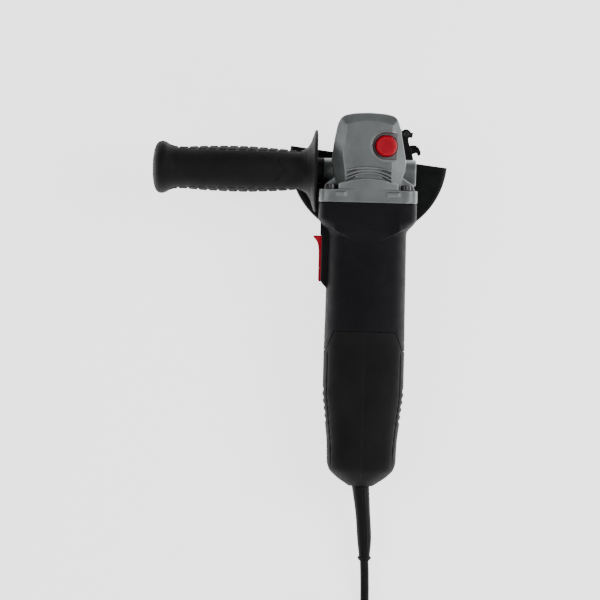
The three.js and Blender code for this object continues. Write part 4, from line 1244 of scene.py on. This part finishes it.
GRIP = [  # radius and X, from the grip's outer end to its flange
    (0, -173), (7, -172.8), (14, -171.8), (18.4, -170.2), (20.6, -168), (21.3, -165.2), (20.6, -162.6),
    (18.4, -159), (17.2, -155.4), (16.8, -148), (17.8, -132), (18.4, -112), (18.4, -96), (17.6, -80),
    (16.4, -64), (15.5, -57), (16.2, -52.5), (18.6, -49), (23, -46.4), (29, -44.4), (32.4, -43.3),
    (33, -42.2), (32.4, -41.2), (29, -40.8), (BOSS_RADIUS, -40.8), (BOSS_RADIUS, -36.3),
]
CARVED = (-166, -48.2)  # X between which the grip's skin is fine enough for the pattern
PAD = (-159, -53)  # X of the textured pads
RIB_PITCH = 8.0
ROWS = 14  # of blocks round the grip
CHEVRON = -67.5
KNURL = -163.5  # X where the knurled end begins


def near(value, half, soften):
    """1 where a value is within a half-width of zero, falling to 0 over a short way."""
    return np.clip((half - np.abs(value)) / soften + 0.5, 0, 1)


def grip_detail(place, angles):
    """How far the grip's surface lies under its plain outline."""
    around = np.sin(angles)  # 1 on top, 0 at the sides
    middle, half = (PAD[0] + PAD[1]) / 2, (PAD[1] - PAD[0]) / 2
    share = np.clip(1 - ((place - middle) / half) ** 2, 0, 1)
    panel = 0.28 + 0.27 * share  # the pads end where the smooth panel begins
    in_pad = near(around, panel, 0.05) * np.clip((half - abs(place - middle)) / 1.5, 0, 1)
    phase = (place / RIB_PITCH + 0.35 * np.abs(around)) % 1.0
    rib = near(phase - 0.5, 0.39, 0.09)
    rows = near(((angles / math.tau * ROWS + 0.5) % 1.0) - 0.5, 0.42, 0.08)
    blocks = rib * rows
    lens = near(np.abs(around) - (panel + 0.035), 0.02, 0.03) * (share > 0.02)
    return 0.95 * in_pad * (1 - blocks) + 0.35 * lens


def chevron(place, side):
    """A groove in the shape of an arrowhead. side is the distance from the grip's middle line."""
    return near(place - CHEVRON + np.abs(side) * 0.72, 1.3, 0.8) * near(side, 9.0, 1.0)


def grip_rows():
    """(X, radius) along the grip: its outline's own points, with finer ones where it is carved."""
    start, end = CARVED
    radii, places = np.array(soft(GRIP, 1.2, closed=False, steps=6)).T
    shaft = places <= -47
    fine = np.arange(start, end, 0.45)
    xs = [*places[places < start], *fine, *places[places > end]]
    reaches = [*radii[places < start], *np.interp(fine, places[shaft], radii[shaft]), *radii[places > end]]
    return zip(xs, reaches)


def handle_grip():
    count = 240
    angles = np.arange(count) * math.tau / count
    upright = np.abs(np.sin(angles)) > 0.5
    rings = []
    for x, r in grip_rows():
        reach = np.full(count, max(r, 0.0))
        if CARVED[0] < x < -48:
            reach = reach - grip_detail(x, angles)
            reach = reach - chevron(x, np.cos(angles) * r) * upright
        if x < KNURL:
            knurl = near(np.sin(angles * 40) * np.sin(x * 2.4), 0.5, 0.3)
            reach = reach - 0.22 * knurl * np.clip((r - 8) / 6, 0, 1)
        rings.append([(x, k * math.cos(a), k * math.sin(a)) for k, a in zip(reach, angles)])
    bore = [(0, -30), (SOCKET_HOLE, -30), (SOCKET_HOLE, -41), (6.3, -41), (6.3, -58.3), (0, -58.3)]
    return moved(cut(through(rings), turned(bore, "x", 48)), Matrix.Translation((0, *SOCKET)))


def handle_stud():
    outline = [(0, -26), (3.3, -26), (3.3, -41.3), (6, -41.3), (6, -58), (0, -58)]
    core = turned(outline, "x", 48, 0.3)
    made = join(core, threaded(3.95, 1.25, 0.7, (-40.8, -25.4), "x"))
    return moved(made, Matrix.Translation((0, *SOCKET)))


fitted(handle_grip(), "handle_grip", "side_handle", "grip_plastic", angle=50)
fitted(handle_stud(), "handle_stud", "side_handle", "bright_steel")

# ---------------- inner pieces and hand-over


def dress_inner_pieces():
    """The pieces inside the tool keep their CAD shape and get the look of their material."""
    slots = {part["node"]: part["material_slot"] for part in frame["record"]["subparts"]}
    for name, node in frame["nodes"].items():
        if node.hide_render:
            continue
        node.data.materials.clear()
        node.data.materials.append(LOOKS[slots[name]])


dress_inner_pieces()
bpy.context.view_layer.update()
